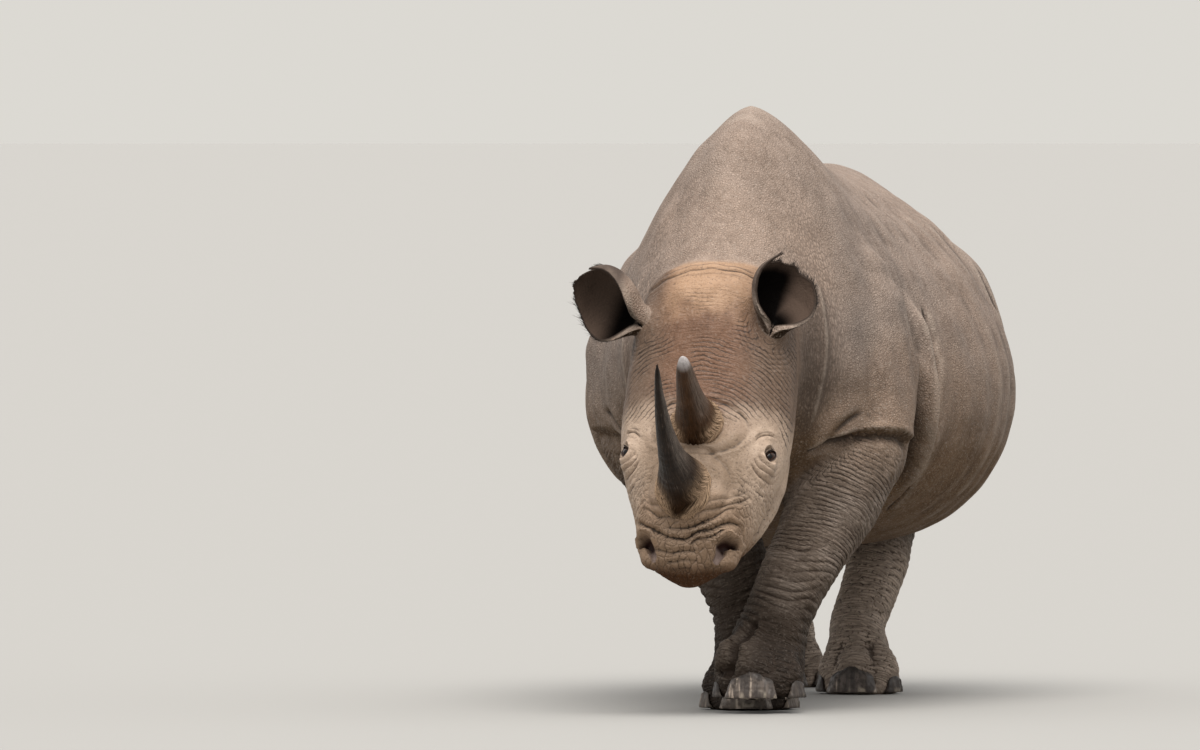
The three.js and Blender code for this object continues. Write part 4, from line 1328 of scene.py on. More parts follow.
def hide_relief(s):
    """Borders of leathery cells, drawn out along the wrinkles of each region, and fine grain."""
    grainy = s.borders(0.0065, s.shaken(s.place, 0.02, 0.006))
    body_cells = s.span(grainy, 0.0, 0.35)
    leg_at = s.shaken(s.vector("MULTIPLY", s.point3("leg_grain"), (1.0, 0.45, 0.45)), 0.03, 0.005)
    leg_cells = s.span(s.borders(0.0085, leg_at), 0.0, 0.35)
    face_at = s.shaken(s.vector("MULTIPLY", s.point3("face_grain"), (1.0, 0.5, 0.5)), 0.035, 0.007)
    face_cells = s.span(s.borders(0.0068, face_at), 0.0, 0.40)
    neck_at = s.shaken(s.vector("MULTIPLY", s.place, (1.0, 1.0, 0.22)), 0.03, 0.006)
    neck_cells = s.span(s.borders(0.0080, neck_at), 0.0, 0.35)
    forehead = s.times(s.head, s.times(s.span(s.along, 0.40, 0.24), s.span(s.along, -0.14, -0.05)))
    smooth_face = s.sum("MAXIMUM", s.sum("SUBTRACT", s.head, forehead), 0.0)
    sides = s.times(s.neck, s.span(s.sum("ABSOLUTE", s.spot["X"]), 0.10, 0.20))
    cell_share = [(s.leg, leg_cells, 0.0016), (forehead, face_cells, 0.0005), (sides, neck_cells, 0.0015)]
    s.plain = s.sum("SUBTRACT", 1.0, s.sum("MINIMUM", s.plus(s.leg, s.head, sides, s.ear), 1.0))
    s.height = s.times(s.times(s.plain, body_cells), 0.0014)
    s.cells = s.times(s.plain, s.span(body_cells, 0.0, 1.0, 0.20, 1.0))
    for share, pattern, depth in cell_share:
        s.height = s.plus(s.height, s.times(s.times(share, pattern), depth))
        s.cells = s.plus(s.cells, s.times(share, pattern))
    rest = s.plus(smooth_face, s.ear)
    s.cells = s.plus(s.cells, rest, s.times(s.times(forehead, s.sum("SUBTRACT", 1.0, face_cells)), 0.75))
    skin_cells = s.span(s.borders(0.0046, s.shaken(s.place, 0.02, 0.004)), 0.0, 0.35)
    s.height = s.plus(s.height, s.times(s.times(smooth_face, skin_cells), 0.00035))
    s.cells = s.sum("SUBTRACT", s.cells, s.times(s.times(smooth_face, s.sum("SUBTRACT", 1.0,
                                                                            skin_cells)), 0.35))
    s.grit = s.noise(0.0032, 2)
    s.height = s.plus(s.height, s.times(s.small, 0.0022), s.times(s.speck, 0.0017), s.times(s.grit, 0.0008),
                    s.times(s.middle, 0.003))


def body_tone(s):
    """The tones of the body, the face and the snout, with painted shade on skin that faces down."""
    hide = s.mix(s.span(s.broad, 0.35, 0.65), HIDE_WARM, HIDE_COOL)
    # Paler where the skin faces up
    hide = s.mix(s.times(s.span(s.up, 0.15, 0.85), 0.75), hide, HIDE_FACING_UP)
    # Painted shade on the underside: near black where the skin faces down
    hide = s.mix(s.span(s.up, -0.05, -0.7), hide, BELLY_SHADE)
    low = s.times(s.span(s.plus(s.spot["Z"], s.times(s.middle, 0.20)), 1.10, 0.60), 0.7)
    hide = s.mix(low, hide, MUD)
    shaky = s.plus(s.along, s.times(s.sum("SUBTRACT", s.middle, 0.5), 0.16))
    crown = s.times(s.span(shaky, 0.40, 0.26), s.span(s.sum("ABSOLUTE", s.off), 0.16, 0.06))
    brow = s.mix(s.span(shaky, 0.37, 0.27), FACE, TEMPLE)
    bridge = s.times(s.span(s.sum("ABSOLUTE", s.off), 0.155, 0.10), s.span(s.along, 0.34, 0.42))
    brow = s.mix(s.times(bridge, s.span(s.along, 0.57, 0.51)), brow, BRIDGE)
    brow = s.mix(crown, brow, FOREHEAD)
    band = s.times(s.span(shaky, 0.11, 0.03), s.span(s.sum("ABSOLUTE", s.off), 0.14, 0.07))
    brow = s.mix(s.times(band, 0.85), brow, POLL)
    brow = s.mix(s.span(s.point("snout"), 0.0, 1.0), brow, MUZZLE)
    brow = s.mix(s.point("lip"), brow, LIP)
    tone = s.mix(s.span(s.head, 0.15, 0.85), hide, brow)
    return tone


def limb_tone(s, tone):
    """The tones of the legs and the feet, with painted shade on the thighs, the right foreleg and the fold
    of the neck, and painted light on the lower hind legs.
    """
    run = s.parts(s.point3("leg_grain"))
    limb = s.mix(s.span(s.plus(s.middle, s.times(s.small, 0.3)), 0.5, 0.8), LEG, LEG_MUD)
    limb = s.mix(s.span(s.plus(run["X"], s.times(s.middle, 0.10)), -0.10, 0.16), limb, SHIN)
    # Hind legs: painted shade high on the thigh, and their own tone made paler by painted light from the
    # hock down
    rear = s.mix(s.span(s.plus(run["X"], s.times(s.middle, 0.10)), -0.14, 0.06), HIND_SHADE, HIND_LIT)
    limb = s.mix(s.plus(s.point("hindleg_left"), s.point("hindleg_right")), limb, rear)
    # Painted shade on the right foreleg, which stands further back
    limb = s.mix(s.times(s.point("foreleg_right"), 0.6), limb, SHIN)
    tone = s.mix(s.leg, tone, limb)
    fold = s.times(s.span(s.spot["X"], 0.16, 0.21), s.span(s.spot["Y"], -0.56, -0.64))
    fold = s.times(fold, s.span(s.plus(s.spot["Z"], s.times(s.middle, 0.1)), 1.16, 1.0))
    tone = s.mix(s.times(s.times(fold, s.neck), 0.8), tone, NECK_SHADE)
    front = s.plus(s.point("foreleg_left"), s.point("foreleg_right"))
    tone = s.mix(s.times(s.foot, s.span(front, 0.0, 1.0, 0.05, 1.0)), tone, FOOT)
    tone = s.mix(s.times(s.point("lobe"), 0.8), tone, LEG_MUD)
    return tone


def weathered(s, tone):
    """Mottling, streaks, pale specks, scratches and the dark grain between the cells."""
    blot = s.plus(s.times(s.middle, 0.55), s.times(s.small, 0.45))
    tone = s.mix(s.span(blot, 0.42, 0.60, 0.0, 0.45), tone, BLOT_SHADE, "MULTIPLY")
    runs = s.noise(0.022, 3, s.vector("MULTIPLY", s.place, (1.0, 1.0, 0.13)))
    runs = s.times(s.span(runs, 0.44, 0.60), s.times(s.plain, s.span(s.noise(0.2, 2), 0.40, 0.60)))
    tone = s.mix(s.times(runs, 0.45), tone, STREAK_SHADE, "MULTIPLY")
    tone = s.mix(s.times(s.span(s.speck, 0.53, 0.72), s.plus(0.15, s.times(s.plain, 0.28))), tone,
                 PALE_SPECK)
    tone = s.mix(s.span(s.speck, 0.44, 0.28, 0.0, 0.45), tone, GRIT_AND_CREASE_SHADE)
    scratch = s.sum("ABSOLUTE", s.sum("SUBTRACT", s.noise(0.5, 1, s.shaken(s.place, 0.2, 0.1)), 0.5))
    scratch = s.times(s.span(scratch, 0.0035, 0.0), s.span(s.noise(0.16, 2), 0.55, 0.7))
    tone = s.mix(s.times(s.times(scratch, s.plain), 0.4), tone, SCRATCH)
    tone = s.mix(s.span(s.cells, 0.0, 0.60, 0.42, 0.0), tone, GRIT_AND_CREASE_SHADE)
    tone = s.mix(s.span(s.grit, 0.40, 0.28, 0.0, 0.30), tone, GRIT_AND_CREASE_SHADE)
    return tone


def grooved(s, tone):
    """Painted shade in creases, hollows and along wrinkles, and painted highlights on ridges."""
    # Painted shade in creases: darker where the skin sinks below its smoothed self
    tone = s.mix(s.span(s.crease, 0.02, 0.75, 0.0, 0.80), tone, GRIT_AND_CREASE_SHADE)
    # Painted shade along the bottom of each fine wrinkle
    waver = s.times(s.sum("SUBTRACT", s.noise(0.012, 2), 0.5), 0.7)
    count = s.sum("FRACT", s.plus(s.point("phase"), waver, 0.5))
    wrinkle_line_shade = s.span(s.sum("ABSOLUTE", s.sum("SUBTRACT", count, 0.5)), 0.17, 0.03)
    wrinkle_line_shade = s.times(wrinkle_line_shade, s.span(s.point("wrinkled"), 0.15, 0.8))
    tone = s.mix(s.times(wrinkle_line_shade, 0.75), tone, LINE_SHADE)
    # Painted shade along creases, grooves and the eyes' rings
    tone = s.mix(s.times(s.point("line"), 0.85), tone, LINE_SHADE)
    # Painted shade in broad hollows
    tone = s.mix(s.span(s.hollow, 0.10, 1.0, 0.0, 0.55), tone, GRIT_AND_CREASE_SHADE)
    # Painted highlight on convex ridges, weaker on the legs
    ridge = s.times(s.span(s.crease, -0.1, -0.8, 0.0, 0.30), s.span(s.leg, 0.0, 1.0, 1.0, 0.3))
    tone = s.mix(ridge, tone, RIDGE_HIGHLIGHT)
    return tone


def ears_and_openings(s, tone):
    """The tones of the ears, the eyelids and the nostrils, with painted shade in the ears' pits and in the
    nostrils, and a painted highlight inside the nostrils.
    """
    shell = s.mix(s.span(s.middle, 0.4, 0.6), EAR_BACK, EAR_BACK_DARK)
    shell = s.mix(s.lining, shell, EAR_INSIDE)
    # Painted shade in the ear's pit and low in its cup
    shell = s.mix(s.span(s.point("ear_pit"), 0.0, 0.9), shell, EAR_SHADE)
    shell = s.mix(s.rim, shell, EAR_RIM_DARK)
    tone = s.mix(s.span(s.ear, 0.1, 0.9), tone, shell)
    tone = s.mix(s.point("lid"), tone, LID)
    # Painted shade inside the nostrils
    tone = s.mix(s.point("nostril"), tone, NOSTRIL_SHADE)
    # Pink skin inside the nostrils, lightened as a painted highlight
    tone = s.mix(s.times(s.point("inner_nostril"), 0.85), tone, NOSTRIL_PINK_HIGHLIGHT)
    return tone


def hide_material():
    s = Shade("hide")
    hide_regions(s)
    hide_relief(s)
    tone = limb_tone(s, body_tone(s))
    tone = grooved(s, weathered(s, tone))
    tone = ears_and_openings(s, tone)
    rough = s.span(s.small, 0.3, 0.7, 0.60, 0.78)
    rough = s.sum("SUBTRACT", rough, s.times(s.times(s.head, s.span(s.along, 0.62, 0.50)), 0.14))
    dull = s.sum("MAXIMUM", s.times(s.ear, 0.95), s.times(s.leg, 0.6))
    dull = s.sum("MAXIMUM", dull, s.span(s.up, -0.05, -0.5, 0.0, 0.9))
    s.feed(s.shader.inputs["Specular IOR Level"], s.span(dull, 0.0, 1.0, 0.26, 0.02))
    return s.finish(tone, rough, s.height)


# ---------- horns, nails, eyes ----------
def carved(node, voxel, rounds, guard):
    """A finer copy of a solid: remeshed and smoothed, less where guard is near 0."""
    hide = Hide(*remeshed(grown_union([node], 0), voxel))
    keep_largest(hide)
    hide.smooth(guard(hide.co), rounds)
    return hide


def horn_axis(node):
    """Where a horn's foot and tip are, from its solid."""
    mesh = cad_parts[node].data
    co = np.array([v.co for v in mesh.vertices])
    tip = co[np.argmax((co - HEAD_AT) @ HEAD_AXES[:, 2])]
    local = in_head(co)
    low = local[:, 2].min()
    base = local[local[:, 2] < low + 0.04]
    foot = from_head([[*base[:, :2].mean(0), low]])[0]
    return foot, tip


def make_horn(node, material, ring_depth):
    foot, tip = horn_axis(node)
    length = np.linalg.norm(tip - foot)
    hide = carved(node, 0.0035, 90, lambda co: ramp(np.linalg.norm(co - tip, axis=1), 0.0, 0.16))
    hide.refine(np.ones(len(hide.quads), bool))
    axis = (tip - foot) / length
    rel = hide.co - foot
    along = rel @ axis / length
    side = unit(np.cross(HEAD_AXES[:, 1], axis))
    front = np.cross(side, axis)
    middle = np.stack([relation(along, rel @ v) for v in (side, front)], 1)
    flat = np.stack([rel @ side, rel @ front], 1) - middle
    angle = np.arctan2(flat[:, 1], flat[:, 0])
    grain = np.stack([np.cos(angle) * 0.05, np.sin(angle) * 0.05, along * length * 0.07], 1)
    fibre = noise(grain, 0.0028, 101) + 0.5 * noise(grain, 0.0012, 102)
    low = ramp(along, 0.42, 0.05)
    rings = noise(np.stack([along * length, along * 0, along * 0], 1), 0.011, 103)
    lift = 0.0011 * low * fibre + 0.0004 * fibre + ring_depth * ramp(along, 0.6, 0.2) * rings
    lift += 0.004 * ramp(along, 0.16, 0.0) * (1 + 0.6 * fibre)
    hide.push(lift * ramp(along, 1.0, 0.93))
    hide.data.update({"grain": grain, "along": along, "fibre": fibre})
    return add_piece(node, hide, material)


def relation(along, value, bins=24):
    """The mean of a value at each level along a piece, so that a curved one has a middle line."""
    level = np.clip((along * bins).astype(int), 0, bins - 1)
    count = np.maximum(np.bincount(level, minlength=bins), 1)
    mean = np.bincount(level, value, bins) / count
    return np.interp(along * bins - 0.5, np.arange(bins), mean)


def add_piece(name, hide, material):
    piece = place(f"{name}_fine", with_values(hide.mesh(name), hide.data))
    piece.data.polygons.foreach_set("use_smooth", np.ones(len(piece.data.polygons), bool))
    piece.data.materials.append(material)
    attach(piece, "root")
    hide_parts(name)
    return piece


def horn_material(name, deep, mid, pale, base, skirt, tip, smoothness):
    s = Shade(name)
    along, fibre = s.point("along"), s.point("fibre")
    grain = s.point3("grain")
    streak = s.noise(0.0022, 3, grain)
    hair = s.noise(0.0008, 2, grain)
    cloud = s.noise(0.05, 3)
    tone = s.mix(s.span(s.plus(s.times(streak, 0.6), s.times(cloud, 0.4)), 0.40, 0.62), deep, mid)
    tone = s.mix(s.times(s.span(streak, 0.58, 0.75), s.span(cloud, 0.45, 0.6)), tone, pale)
    rooty = s.span(s.plus(along, s.times(cloud, 0.12)), 0.36, 0.10)
    brown = s.mix(s.span(hair, 0.40, 0.60), base, tuple(c * 0.45 for c in base))
    round_way = s.add("ShaderNodeSeparateXYZ")
    s.feed(round_way.inputs[0], grain)
    flank = s.span(s.plus(s.sum("ABSOLUTE", round_way.outputs["X"]), s.times(streak, 0.03)), 0.022, 0.048)
    flank = s.times(flank, s.span(s.plus(along, s.times(streak, 0.16)), 0.36, 0.16))
    flank = s.sum("MAXIMUM", flank, s.span(s.plus(along, s.times(streak, 0.08)), 0.085, 0.045, 0.0, 0.7))
    brown = s.mix(flank, brown, s.mix(s.span(hair, 0.48, 0.66), skirt, brown))
    # Painted sheen: a paler band down one side of the shaft
    edge = s.times(s.span(round_way.outputs["X"], 0.012, 0.040), s.span(along, 0.22, 0.40))
    tone = s.mix(s.times(edge, s.span(streak, 0.35, 0.65, 0.05, 0.55)), tone, pale)
    tone = s.mix(s.sum("MAXIMUM", s.times(rooty, 0.85), flank), tone, brown)
    tone = s.mix(s.span(s.plus(along, s.times(cloud, 0.06)), 0.90, 1.0, 0.0, 0.9), tone, tip)
    tone = s.mix(s.span(fibre, -0.2, -0.9, 0.0, 0.55), tone, tuple(c * 0.3 for c in deep))
    s.feed(s.shader.inputs["Specular IOR Level"], s.span(rooty, 0.0, 1.0, 0.14, 0.01))
    height = s.plus(s.times(streak, 0.0009), s.times(hair, 0.0005), s.times(cloud, 0.0008))
    rough = s.plus(s.times(rooty, 0.30), s.span(streak, 0.3, 0.7, smoothness, smoothness + 0.14))
    return s.finish(tone, rough, height)


def make_nail(node, material):
    hide = carved(node, 0.0028, 16, lambda co: np.full(len(co), 0.9))
    low, high = (np.array(v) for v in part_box(node))
    out = unit((box_centre(node) - box_centre(node.split("_nail")[0] + "_foot")) * (1, 1, 0))
    side = np.cross(out, (0, 0, 1))
    rise = (hide.co[:, 2] - low[2]) / (high[2] - low[2])
    lateral = (hide.co - box_centre(node)) @ side
    lateral /= np.abs(lateral).max()
    middle = float(node.endswith("middle"))
    hide.co[:, 2] -= (high[2] - low[2]) * (0.14 + 0.28 * middle) * lateral**2 * rise
    grain = np.stack([hide.co @ side, hide.co[:, 2] * 0.12, hide.co @ out * 0.3], 1)
    ridge = noise(grain, 0.004, 111) + 0.5 * noise(grain, 0.0018, 112)
    band = noise(hide.co * (0.2, 0.2, 1), 0.006, 113)
    chips = np.maximum(noise(hide.co, 0.012, 114) - 0.25, 0) * ramp(rise, 0.45, 0.0)
    face = ramp(hide.normals() @ out, 0.0, 0.5)
    hide.push(face * (0.0008 * ridge + 0.0006 * band) - 0.006 * chips - 0.002 * ramp(rise, 0.2, 0))
    hide.co[:, 2] = np.maximum(hide.co[:, 2], 0.0)
    # The right front nails sit in shade under the lifted foot; they are painted paler
    pale = np.full(len(hide.co), float(node.startswith("foreleg_right")))
    hide.data.update({"grain": grain, "rise": rise, "chips": np.clip(chips * 4, 0, 1), "pale": pale})
    hide.data["small"] = np.full(len(hide.co), 1 - middle)
    return add_piece(node, hide, material)


def nail_material():
    s = Shade("nail")
    rise, chips, grain = s.point("rise"), s.point("chips"), s.point3("grain")
    streak, hair = s.noise(0.014, 2, grain), s.noise(0.0025, 2, grain)
    cloud, dirt_and_shade = s.noise(0.03, 3), s.noise(0.012, 4)
    tone = s.mix(s.span(s.plus(s.times(streak, 0.7), s.times(cloud, 0.3)), 0.38, 0.62), NAIL_DARK, NAIL)
    tone = s.mix(s.span(streak, 0.62, 0.70, 0.0, 0.8), tone, NAIL_PALE_AND_LIT)
    tone = s.mix(s.span(hair, 0.58, 0.72, 0.0, 0.5), tone, NAIL_DARK)
    # Painted light on the right front nails, over their pale streaks
    tone = s.mix(s.times(s.point("pale"), s.span(streak, 0.52, 0.64, 0.2, 0.9)), tone, NAIL_PALE_AND_LIT)
    tone = s.mix(s.span(rise, 0.55, 0.95, 0.0, 0.8), tone, FOOT)
    tone = s.mix(chips, tone, NAIL_CHIP)
    muddy = s.times(s.span(dirt_and_shade, 0.48, 0.62), s.span(rise, 0.9, 0.2, 0.75, 0.35))
    muddy = s.sum("MAXIMUM", muddy, s.times(s.point("small"), 0.55))
    tone = s.mix(muddy, tone, FOOT)
    height = s.plus(s.times(streak, 0.0010), s.times(hair, 0.0005), s.times(dirt_and_shade, 0.0012))
    return s.finish(tone, s.span(dirt_and_shade, 0.35, 0.65, 0.42, 0.75), height)


def make_eye(side, place_of_eye, material):
    """The eyeball, with the clear front's own bulge."""
    centre, out, down, brow = place_of_eye
    node = f"eye_{side}"
    radius = ball_radius(node)
    bm = bmesh.new()
    bmesh.ops.create_icosphere(bm, subdivisions=5, radius=radius)
    co = np.array([v.co for v in bm.verts])
    gaze = co @ GAZE / radius
    turned = np.stack([down, brow, out], 1)
    co *= (0.995 + 0.04 * ramp(gaze, 0.80, 0.97))[:, None]
    mesh = bpy.data.meshes.new(node)
    bm.to_mesh(mesh)
    bm.free()
    mesh.vertices.foreach_set("co", (co @ turned.T + centre).astype(np.float32).ravel())
    flat = co - np.outer(gaze * radius, GAZE)
    with_values(mesh, {"gaze": gaze, "grain": unit_rows(flat) * 0.02})
    piece = place(f"{node}_fine", mesh)
    mesh.polygons.foreach_set("use_smooth", np.ones(len(mesh.polygons), bool))
    mesh.materials.append(material)
    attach(piece, "root")
    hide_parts(node)


def unit_rows(rows):
    return rows / np.maximum(np.linalg.norm(rows, axis=1), 1e-9)[:, None]


def eye_material():
    s = Shade("eye")
    gaze = s.point("gaze")
    rays = s.noise(0.003, 3, s.point3("grain"))
    iris = s.mix(s.span(rays, 0.35, 0.65), (0.016, 0.007, 0.004), (0.045, 0.020, 0.010))
    white = s.mix(s.noise(0.006, 3), (0.050, 0.028, 0.020), (0.022, 0.011, 0.008))
    tone = s.mix(s.span(gaze, 0.80, 0.84), white, iris)
    tone = s.mix(s.span(gaze, 0.945, 0.96), tone, (0.004, 0.003, 0.003))
    s.shader.inputs["IOR"].default_value = 1.33
    s.shader.inputs["Specular IOR Level"].default_value = 0.3
    s.shader.inputs["Coat Weight"].default_value = 0.15
    s.shader.inputs["Coat Roughness"].default_value = 0.03
    return s.finish(tone, 0.18)


# ---------- hair ----------
def tuft_mesh(roots, ways, lengths, width, bend, seed):
    """Tapered strands of three sides, each from its root, bending towards the bend vector."""
    steps = 5
    rng = np.random.default_rng(seed)
    n = len(roots)
    ways = unit_rows(ways)
    across = unit_rows(np.cross(ways, rng.normal(size=(n, 3))))
    other = np.cross(ways, across)
    sway = rng.normal(scale=0.25, size=(n, 3))
    rings = []
    for i in range(steps):
        t = i / (steps - 1)
        middle = roots + lengths[:, None] * (ways * t + (np.array(bend) + 0.3 * sway) * t * t * 0.5)
        thick = width * (1 - 0.9 * t) * (0.7 + 0.6 * rng.random(n))
        for k in range(3):
            turn = 2 * math.pi * k / 3
            rings.append(middle + thick[:, None] * (across * math.cos(turn) + other * math.sin(turn)))
    co = np.stack(rings, 1).reshape(-1, 3)
    base = np.arange(n)[:, None] * steps * 3
    faces = []
    for i in range(steps - 1):
        for k in range(3):
            j = (k + 1) % 3
            faces.append(base + [i * 3 + k, i * 3 + j, i * 3 + 3 + j, i * 3 + 3 + k])
    quads = np.stack(faces, 1).reshape(-1, 4)
    caps = np.concatenate([base + [2, 1, 0], base + [steps * 3 - 3, steps * 3 - 2, steps * 3 - 1]])
    loops = np.concatenate([quads.ravel(), caps.ravel()])
    sizes = np.concatenate([np.full(len(quads), 4), np.full(len(caps), 3)])
    return mesh_of("hair", co, loops, sizes), np.repeat(np.arange(n), steps * 3)


def bake_map(mesh, owner, chart):
    """The map OFBake: each strand is a small patch at its root's place on the skin's chart."""
    loops = read(mesh.loops, "vertex_index", np.int32)
    strand = owner[loops]
    part = np.arange(len(owner)) - np.searchsorted(owner, owner)
    corner = np.stack([(part % 3) / 2, (part // 3) / 4], 1)[loops]
    uv = chart[strand] + HAIR_PATCH * (corner - 0.5)
    layer = mesh.uv_layers.new(name="OFBake")
    layer.data.foreach_set("uv", np.ascontiguousarray(uv, np.float32).ravel())


def add_hair(name, parts, material, node=None):
    """Several groups of strands as one piece; each part is a mesh, its owners and its chart."""
    whole = bmesh.new()
    for mesh, owner, chart in parts:
        bake_map(mesh, owner, chart)
        whole.from_mesh(mesh)
        bpy.data.meshes.remove(mesh)
    mesh = bpy.data.meshes.new(name)
    whole.to_mesh(mesh)
    whole.free()
    mesh.polygons.foreach_set("use_smooth", np.ones(len(mesh.polygons), bool))
    mesh.materials.append(material)
    piece = place(name, mesh)
    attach(piece, "root")
    if node:
        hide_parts(node)


def hair_material():
    s = Shade("bristle")
    cloud = s.noise(0.02, 3)
    strand = s.noise(0.0015, 2)
    tone = s.mix(s.span(cloud, 0.4, 0.6), (0.018, 0.013, 0.011), (0.050, 0.036, 0.028))
    tone = s.mix(s.span(strand, 0.6, 0.75, 0.0, 0.6), tone, (0.11, 0.085, 0.065))
    return s.finish(tone, s.span(strand, 0.3, 0.7, 0.45, 0.65))


def tail_hair(count=1500):
    """The brush at the tail's tip: two flat rows of bristles round the last stretch."""
    low, high = (np.array(v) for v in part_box("tail_brush"))
    rng = np.random.default_rng(7)
    top = np.array([(low[0] + high[0]) / 2, (low[1] + high[1]) / 2 - 0.004, high[2]])
    share = rng.random(count)
    angle = rng.random(count) * 2 * math.pi
    reach = 0.012 + 0.004 * rng.random(count)
    roots = top + np.stack([np.cos(angle) * reach, np.sin(angle) * reach * 0.8, 0.055 * share - 0.012], 1)
    out = np.stack([np.cos(angle), np.sin(angle) * 0.6, np.zeros(count)], 1)
    ways = out * 0.16 + (0, 0, -1)
    room = roots[:, 2] - low[2]
    lengths = room * (0.62 + 0.36 * rng.random(count))
    mesh, owner = tuft_mesh(roots, ways, lengths, 0.0011, (0, 0, -0.1), 8)
    chart = np.stack([0.1 + 0.8 * angle / (2 * math.pi), 0.1 + 0.8 * share], 1)
    return mesh, owner, chart


def ear_hair(row, count=420):
    """A fringe along an ear's rim."""
    side, span, along, lean, turn, spread, reach = row
    rng = np.random.default_rng(20 + side)
    column = 0.12 + 0.83 * rng.random(count)
    share = 0.97 + 0.03 * rng.random(count)
    outer = ear_sheet(side, spread, reach, share[:, None], column[:, None], 0)[:, 0]
    under = ear_sheet(side, spread, reach, share[:, None] - 0.10, column[:, None], 0)[:, 0]
    turned, foot = ear_placement(side, span, along, lean, turn)
    dense = ramp(noise(np.stack([column * 5, column * 0, column * 0 + side], 1), 0.5, 121), -0.5, 0.5)
    ways = (outer - under) @ turned.T
    roots = (outer - (outer - under) * 0.05) @ turned.T + foot
    ways = unit_rows(ways) + rng.normal(scale=0.28, size=(count, 3))
    longest = 0.016 if side > 0 else 0.024
    lengths = (0.006 + longest * rng.random(count) * dense) * (0.5 + 0.5 * dense)
    mesh, owner = tuft_mesh(roots, ways, lengths, 0.0006, (0, 0, 0.1), 30 + side)
    chart = np.stack([0.1 + 0.8 * column, np.full(count, 0.3 + 0.2 * side) + 0.1 * rng.random(count)], 1)
    return mesh, owner, chart


def lashes(place_of_eye, seed, count=70):
    """Short lashes along the upper lid."""
    centre, out, down, brow = place_of_eye
    rng = np.random.default_rng(seed)
    radius = ball_radius("eye_left") + 0.0035
    share = rng.random(count) * 1.7 - 0.85
    p = share * SLIT_LENGTH
    q = SLIT_UPPER * np.sqrt(1 - share**2) + 0.0015
    u = p * math.cos(SLIT_TURN) - q * math.sin(SLIT_TURN)
    v = p * math.sin(SLIT_TURN) + q * math.cos(SLIT_TURN)
    h = np.sqrt(radius**2 - u**2 - v**2)
    roots = centre + np.outer(u, down) + np.outer(v, brow) + np.outer(h, out)
    lift = brow * math.cos(SLIT_TURN) - down * math.sin(SLIT_TURN)
    ways = out + 0.35 * lift + rng.normal(scale=0.15, size=(count, 3))
    mesh, owner = tuft_mesh(roots, ways, 0.008 + 0.005 * rng.random(count), 0.0004, -0.5 * lift, seed)
    chart = np.stack([0.2 + 0.3 * (share + 1), np.full(count, 0.85) + 0.05 * rng.random(count)], 1)
    return mesh, owner, chart


# ---------- main ----------
def make_skin():
    hide = first_skin()
    keep_largest(hide)
    d = hide.data
    parts = ("head", "neck", "tail", "thigh", "shin", "foot")
    loose = 1 - np.clip(sum(d[part] for part in parts), 0, 1)
    weight = (loose + 0.5 * d["neck"] + 0.16 * d["head"] + 0.4 * d["thigh"] + 0.2 * d["shin"]
              + 0.1 * d["foot"] + 0.2 * d["tail"])
    weight *= ramp(eye_gap(hide.co), 0.03, 0.07) * 0.9 + 0.1
    hide.smooth(weight, BASE_ROUNDS)
    haunch = ramp(hide.co[:, 1], HAUNCH_Y, HAUNCH_Y + 0.14) * ramp(hide.co[:, 2], HAUNCH_LOW, 0.80)
    hide.smooth(0.9 * haunch * (1 - d["tail"]), HAUNCH_ROUNDS)
    note("base smoothed")
    hide.refine(zone(hide, VOXEL))
    hide.smooth(np.full(len(hide.co), 0.5), 2)
    fold_body(hide)
    note(f"folded, {len(hide.co)} points")
    hide.refine(zone(hide, VOXEL / 2))
    hide.smooth(ramp(eye_gap(hide.co), 0.02, 0.05) * 0.5, 2)
    hide.smooth(np.clip(1.3 * hide.data["flap"], 0, 1) * 0.9, 10)
    local = in_head(hide.co)
    facing = (hide.normals() @ HEAD_AXES)[:, 2]
    hide.data["face_up"] = ramp(facing, -0.1, 0.35) * (local[:, 2] > -0.12)
    hide.data["face_up"] *= ramp(hide.data["head"] + hide.data["neck"], 0.2, 0.6)
    shape_horn_bases(hide)
    face_grooves(hide, POLL_GROOVES, 0.0045, 0.0)
    shape_toes(hide)
    note(f"crown shaped, {len(hide.co)} points")
    hide.refine(zone(hide, VOXEL / 4))
    face_grooves(hide, [(1.25 * depth, points) for depth, points in MUZZLE_GROOVES], 0.0034)
    shape_nostrils(hide)
    net_of_wrinkles(hide)
    note(f"wrinkled, {len(hide.co)} points")
    hide.refine(zone(hide, VOXEL / 8))
    shape_eyes(hide)
    clear_ears(hide)
    hide.smooth(np.full(len(hide.co), 0.25), 1)
    note(f"eyes shaped, {len(hide.co)} points")
    return hide


skin = joined_with_ears(make_skin())
note(f"ears joined, {len(skin.data.vertices)} points")
finish_skin(skin)
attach(skin, "root")
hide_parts(*FLESH)
skin.data.materials.clear()
skin.data.materials.append(hide_material())
note("skin done")

make_horn("horn_front", horn_material("horn_front", HORN_DEEP, HORN_SLATE, HORN_PALE_AND_SHEEN, HORN_ROOT,
                                      HORN_SKIRT, HORN_DEEP, 0.34), 0.0008)
make_horn("horn_rear", horn_material("horn_rear", HORN_ROOT, HORN_BROWN, HORN_PALE_AND_SHEEN, HORN_ROOT,
                                     HORN_SKIRT, HORN_TIP, 0.30), 0.0010)
nail_look = nail_material()
for leg in LEGS:
    for nail in NAILS:
        make_nail(f"{leg}_nail_{nail}", nail_look)
eye_look = eye_material()
for side, place_of_eye in zip(("left", "right"), EYES):
    make_eye(side, place_of_eye, eye_look)
hair_look = hair_material()
add_hair("tail_bristles", [tail_hair()], hair_look, "tail_brush")
add_hair("ear_fringe", [ear_hair(row) for row in EARS_SET], hair_look)
add_hair("lashes", [lashes(spot, 40 + k) for k, spot in enumerate(EYES)], hair_look)
note("pieces done")


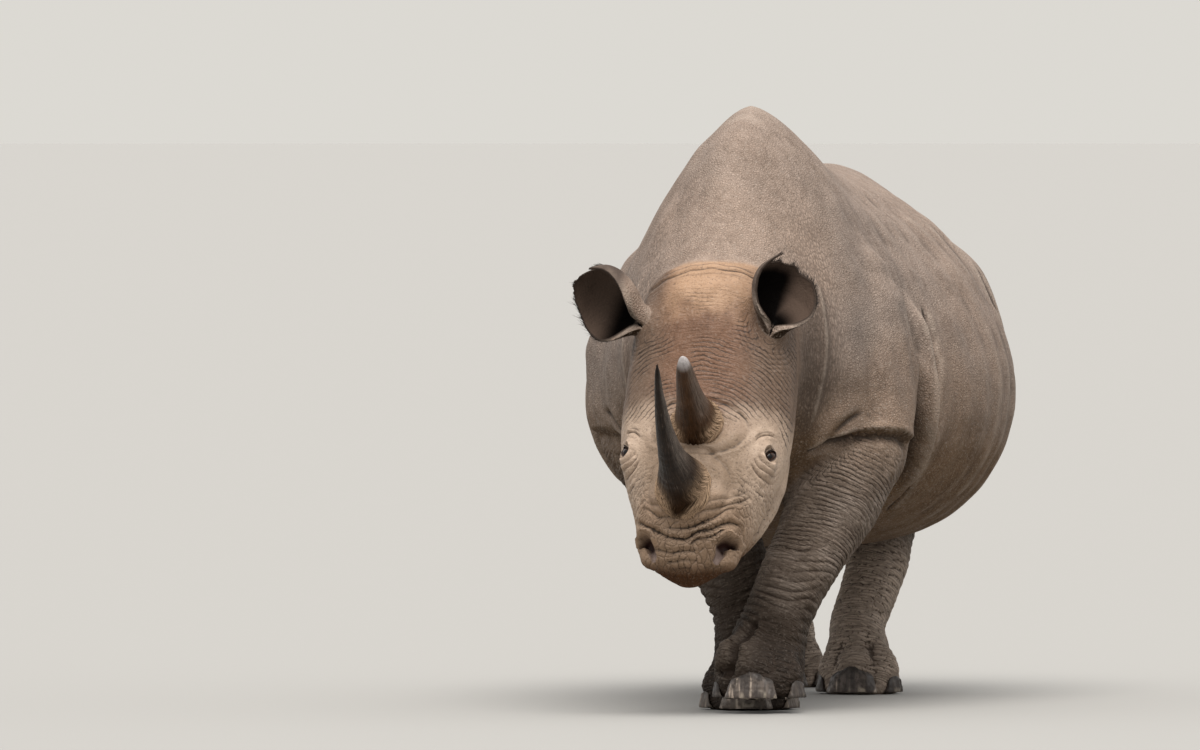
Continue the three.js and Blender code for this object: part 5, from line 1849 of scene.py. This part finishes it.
# ---------- camera, floor, light ----------
def add_camera():
    data = bpy.data.cameras.new("camera")
    data.sensor_width = SENSOR
    data.lens = LENS
    data.clip_end = SIGHT
    camera = bpy.data.objects.new("camera", data)
    bpy.context.scene.collection.objects.link(camera)
    turn = Matrix.Rotation(CAMERA_TURN, 3, "Z")
    spot = Vector(HUMP_TOP) + turn @ Vector((0, -CAMERA_DISTANCE, 0))
    camera.location = (spot.x, spot.y, CAMERA_HEIGHT)
    camera.rotation_euler = (math.pi / 2 - CAMERA_TILT, 0, CAMERA_TURN + CAMERA_ASIDE)
    bpy.context.scene.camera = camera


def plain_material(name, colour, roughness):
    material = bpy.data.materials.new(name)
    material.use_nodes = True
    shader = material.node_tree.nodes["Principled BSDF"]
    shader.inputs["Base Color"].default_value = (*colour, 1)
    shader.inputs["Roughness"].default_value = roughness
    return material


def add_stage():
    bm = bmesh.new()
    bmesh.ops.create_circle(bm, cap_ends=True, radius=FLOOR_RADIUS, segments=FLOOR_SIDES)
    mesh = bpy.data.meshes.new("floor")
    bm.to_mesh(mesh)
    bm.free()
    floor = place("floor", mesh)
    floor.location.z = -FLOOR_GAP
    floor.data.materials.append(plain_material("floor", FLOOR_COLOUR, FLOOR_ROUGHNESS))
    bpy.context.scene.view_settings.view_transform = "Standard"
    add_sky()
    lamp = bpy.data.lights.new("overhead", "SUN")
    lamp.energy = OVERHEAD_ENERGY
    lamp.angle = OVERHEAD_SPREAD
    lamp.color = OVERHEAD_COLOUR
    sun = bpy.data.objects.new("overhead", lamp)
    sun.rotation_euler = OVERHEAD_TURN
    bpy.context.scene.collection.objects.link(sun)


def add_sky():
    """Brighter overhead than at the sides, and one plain pale tone behind the object."""
    world = bpy.data.worlds.new("world")
    world.use_nodes = True
    bpy.context.scene.world = world
    tree = world.node_tree
    spot = tree.nodes.new("ShaderNodeTexCoord")
    part = tree.nodes.new("ShaderNodeSeparateXYZ")
    fade = tree.nodes.new("ShaderNodeMapRange")
    fade.inputs["From Min"].default_value = SKY_STARTS
    fade.inputs["To Min"].default_value = SKY_LOW
    fade.inputs["To Max"].default_value = SKY_HIGH
    seen = tree.nodes.new("ShaderNodeLightPath")
    pick = tree.nodes.new("ShaderNodeMix")
    pick.data_type = "RGBA"
    pick.inputs[7].default_value = (*BACKDROP, 1)
    tree.links.new(spot.outputs["Generated"], part.inputs[0])
    tree.links.new(part.outputs["Z"], fade.inputs["Value"])
    tree.links.new(fade.outputs["Result"], pick.inputs[6])
    tree.links.new(seen.outputs["Is Camera Ray"], pick.inputs[0])
    tree.links.new(pick.outputs[2], tree.nodes["Background"].inputs["Color"])


add_camera()
add_stage()
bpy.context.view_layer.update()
note("done")
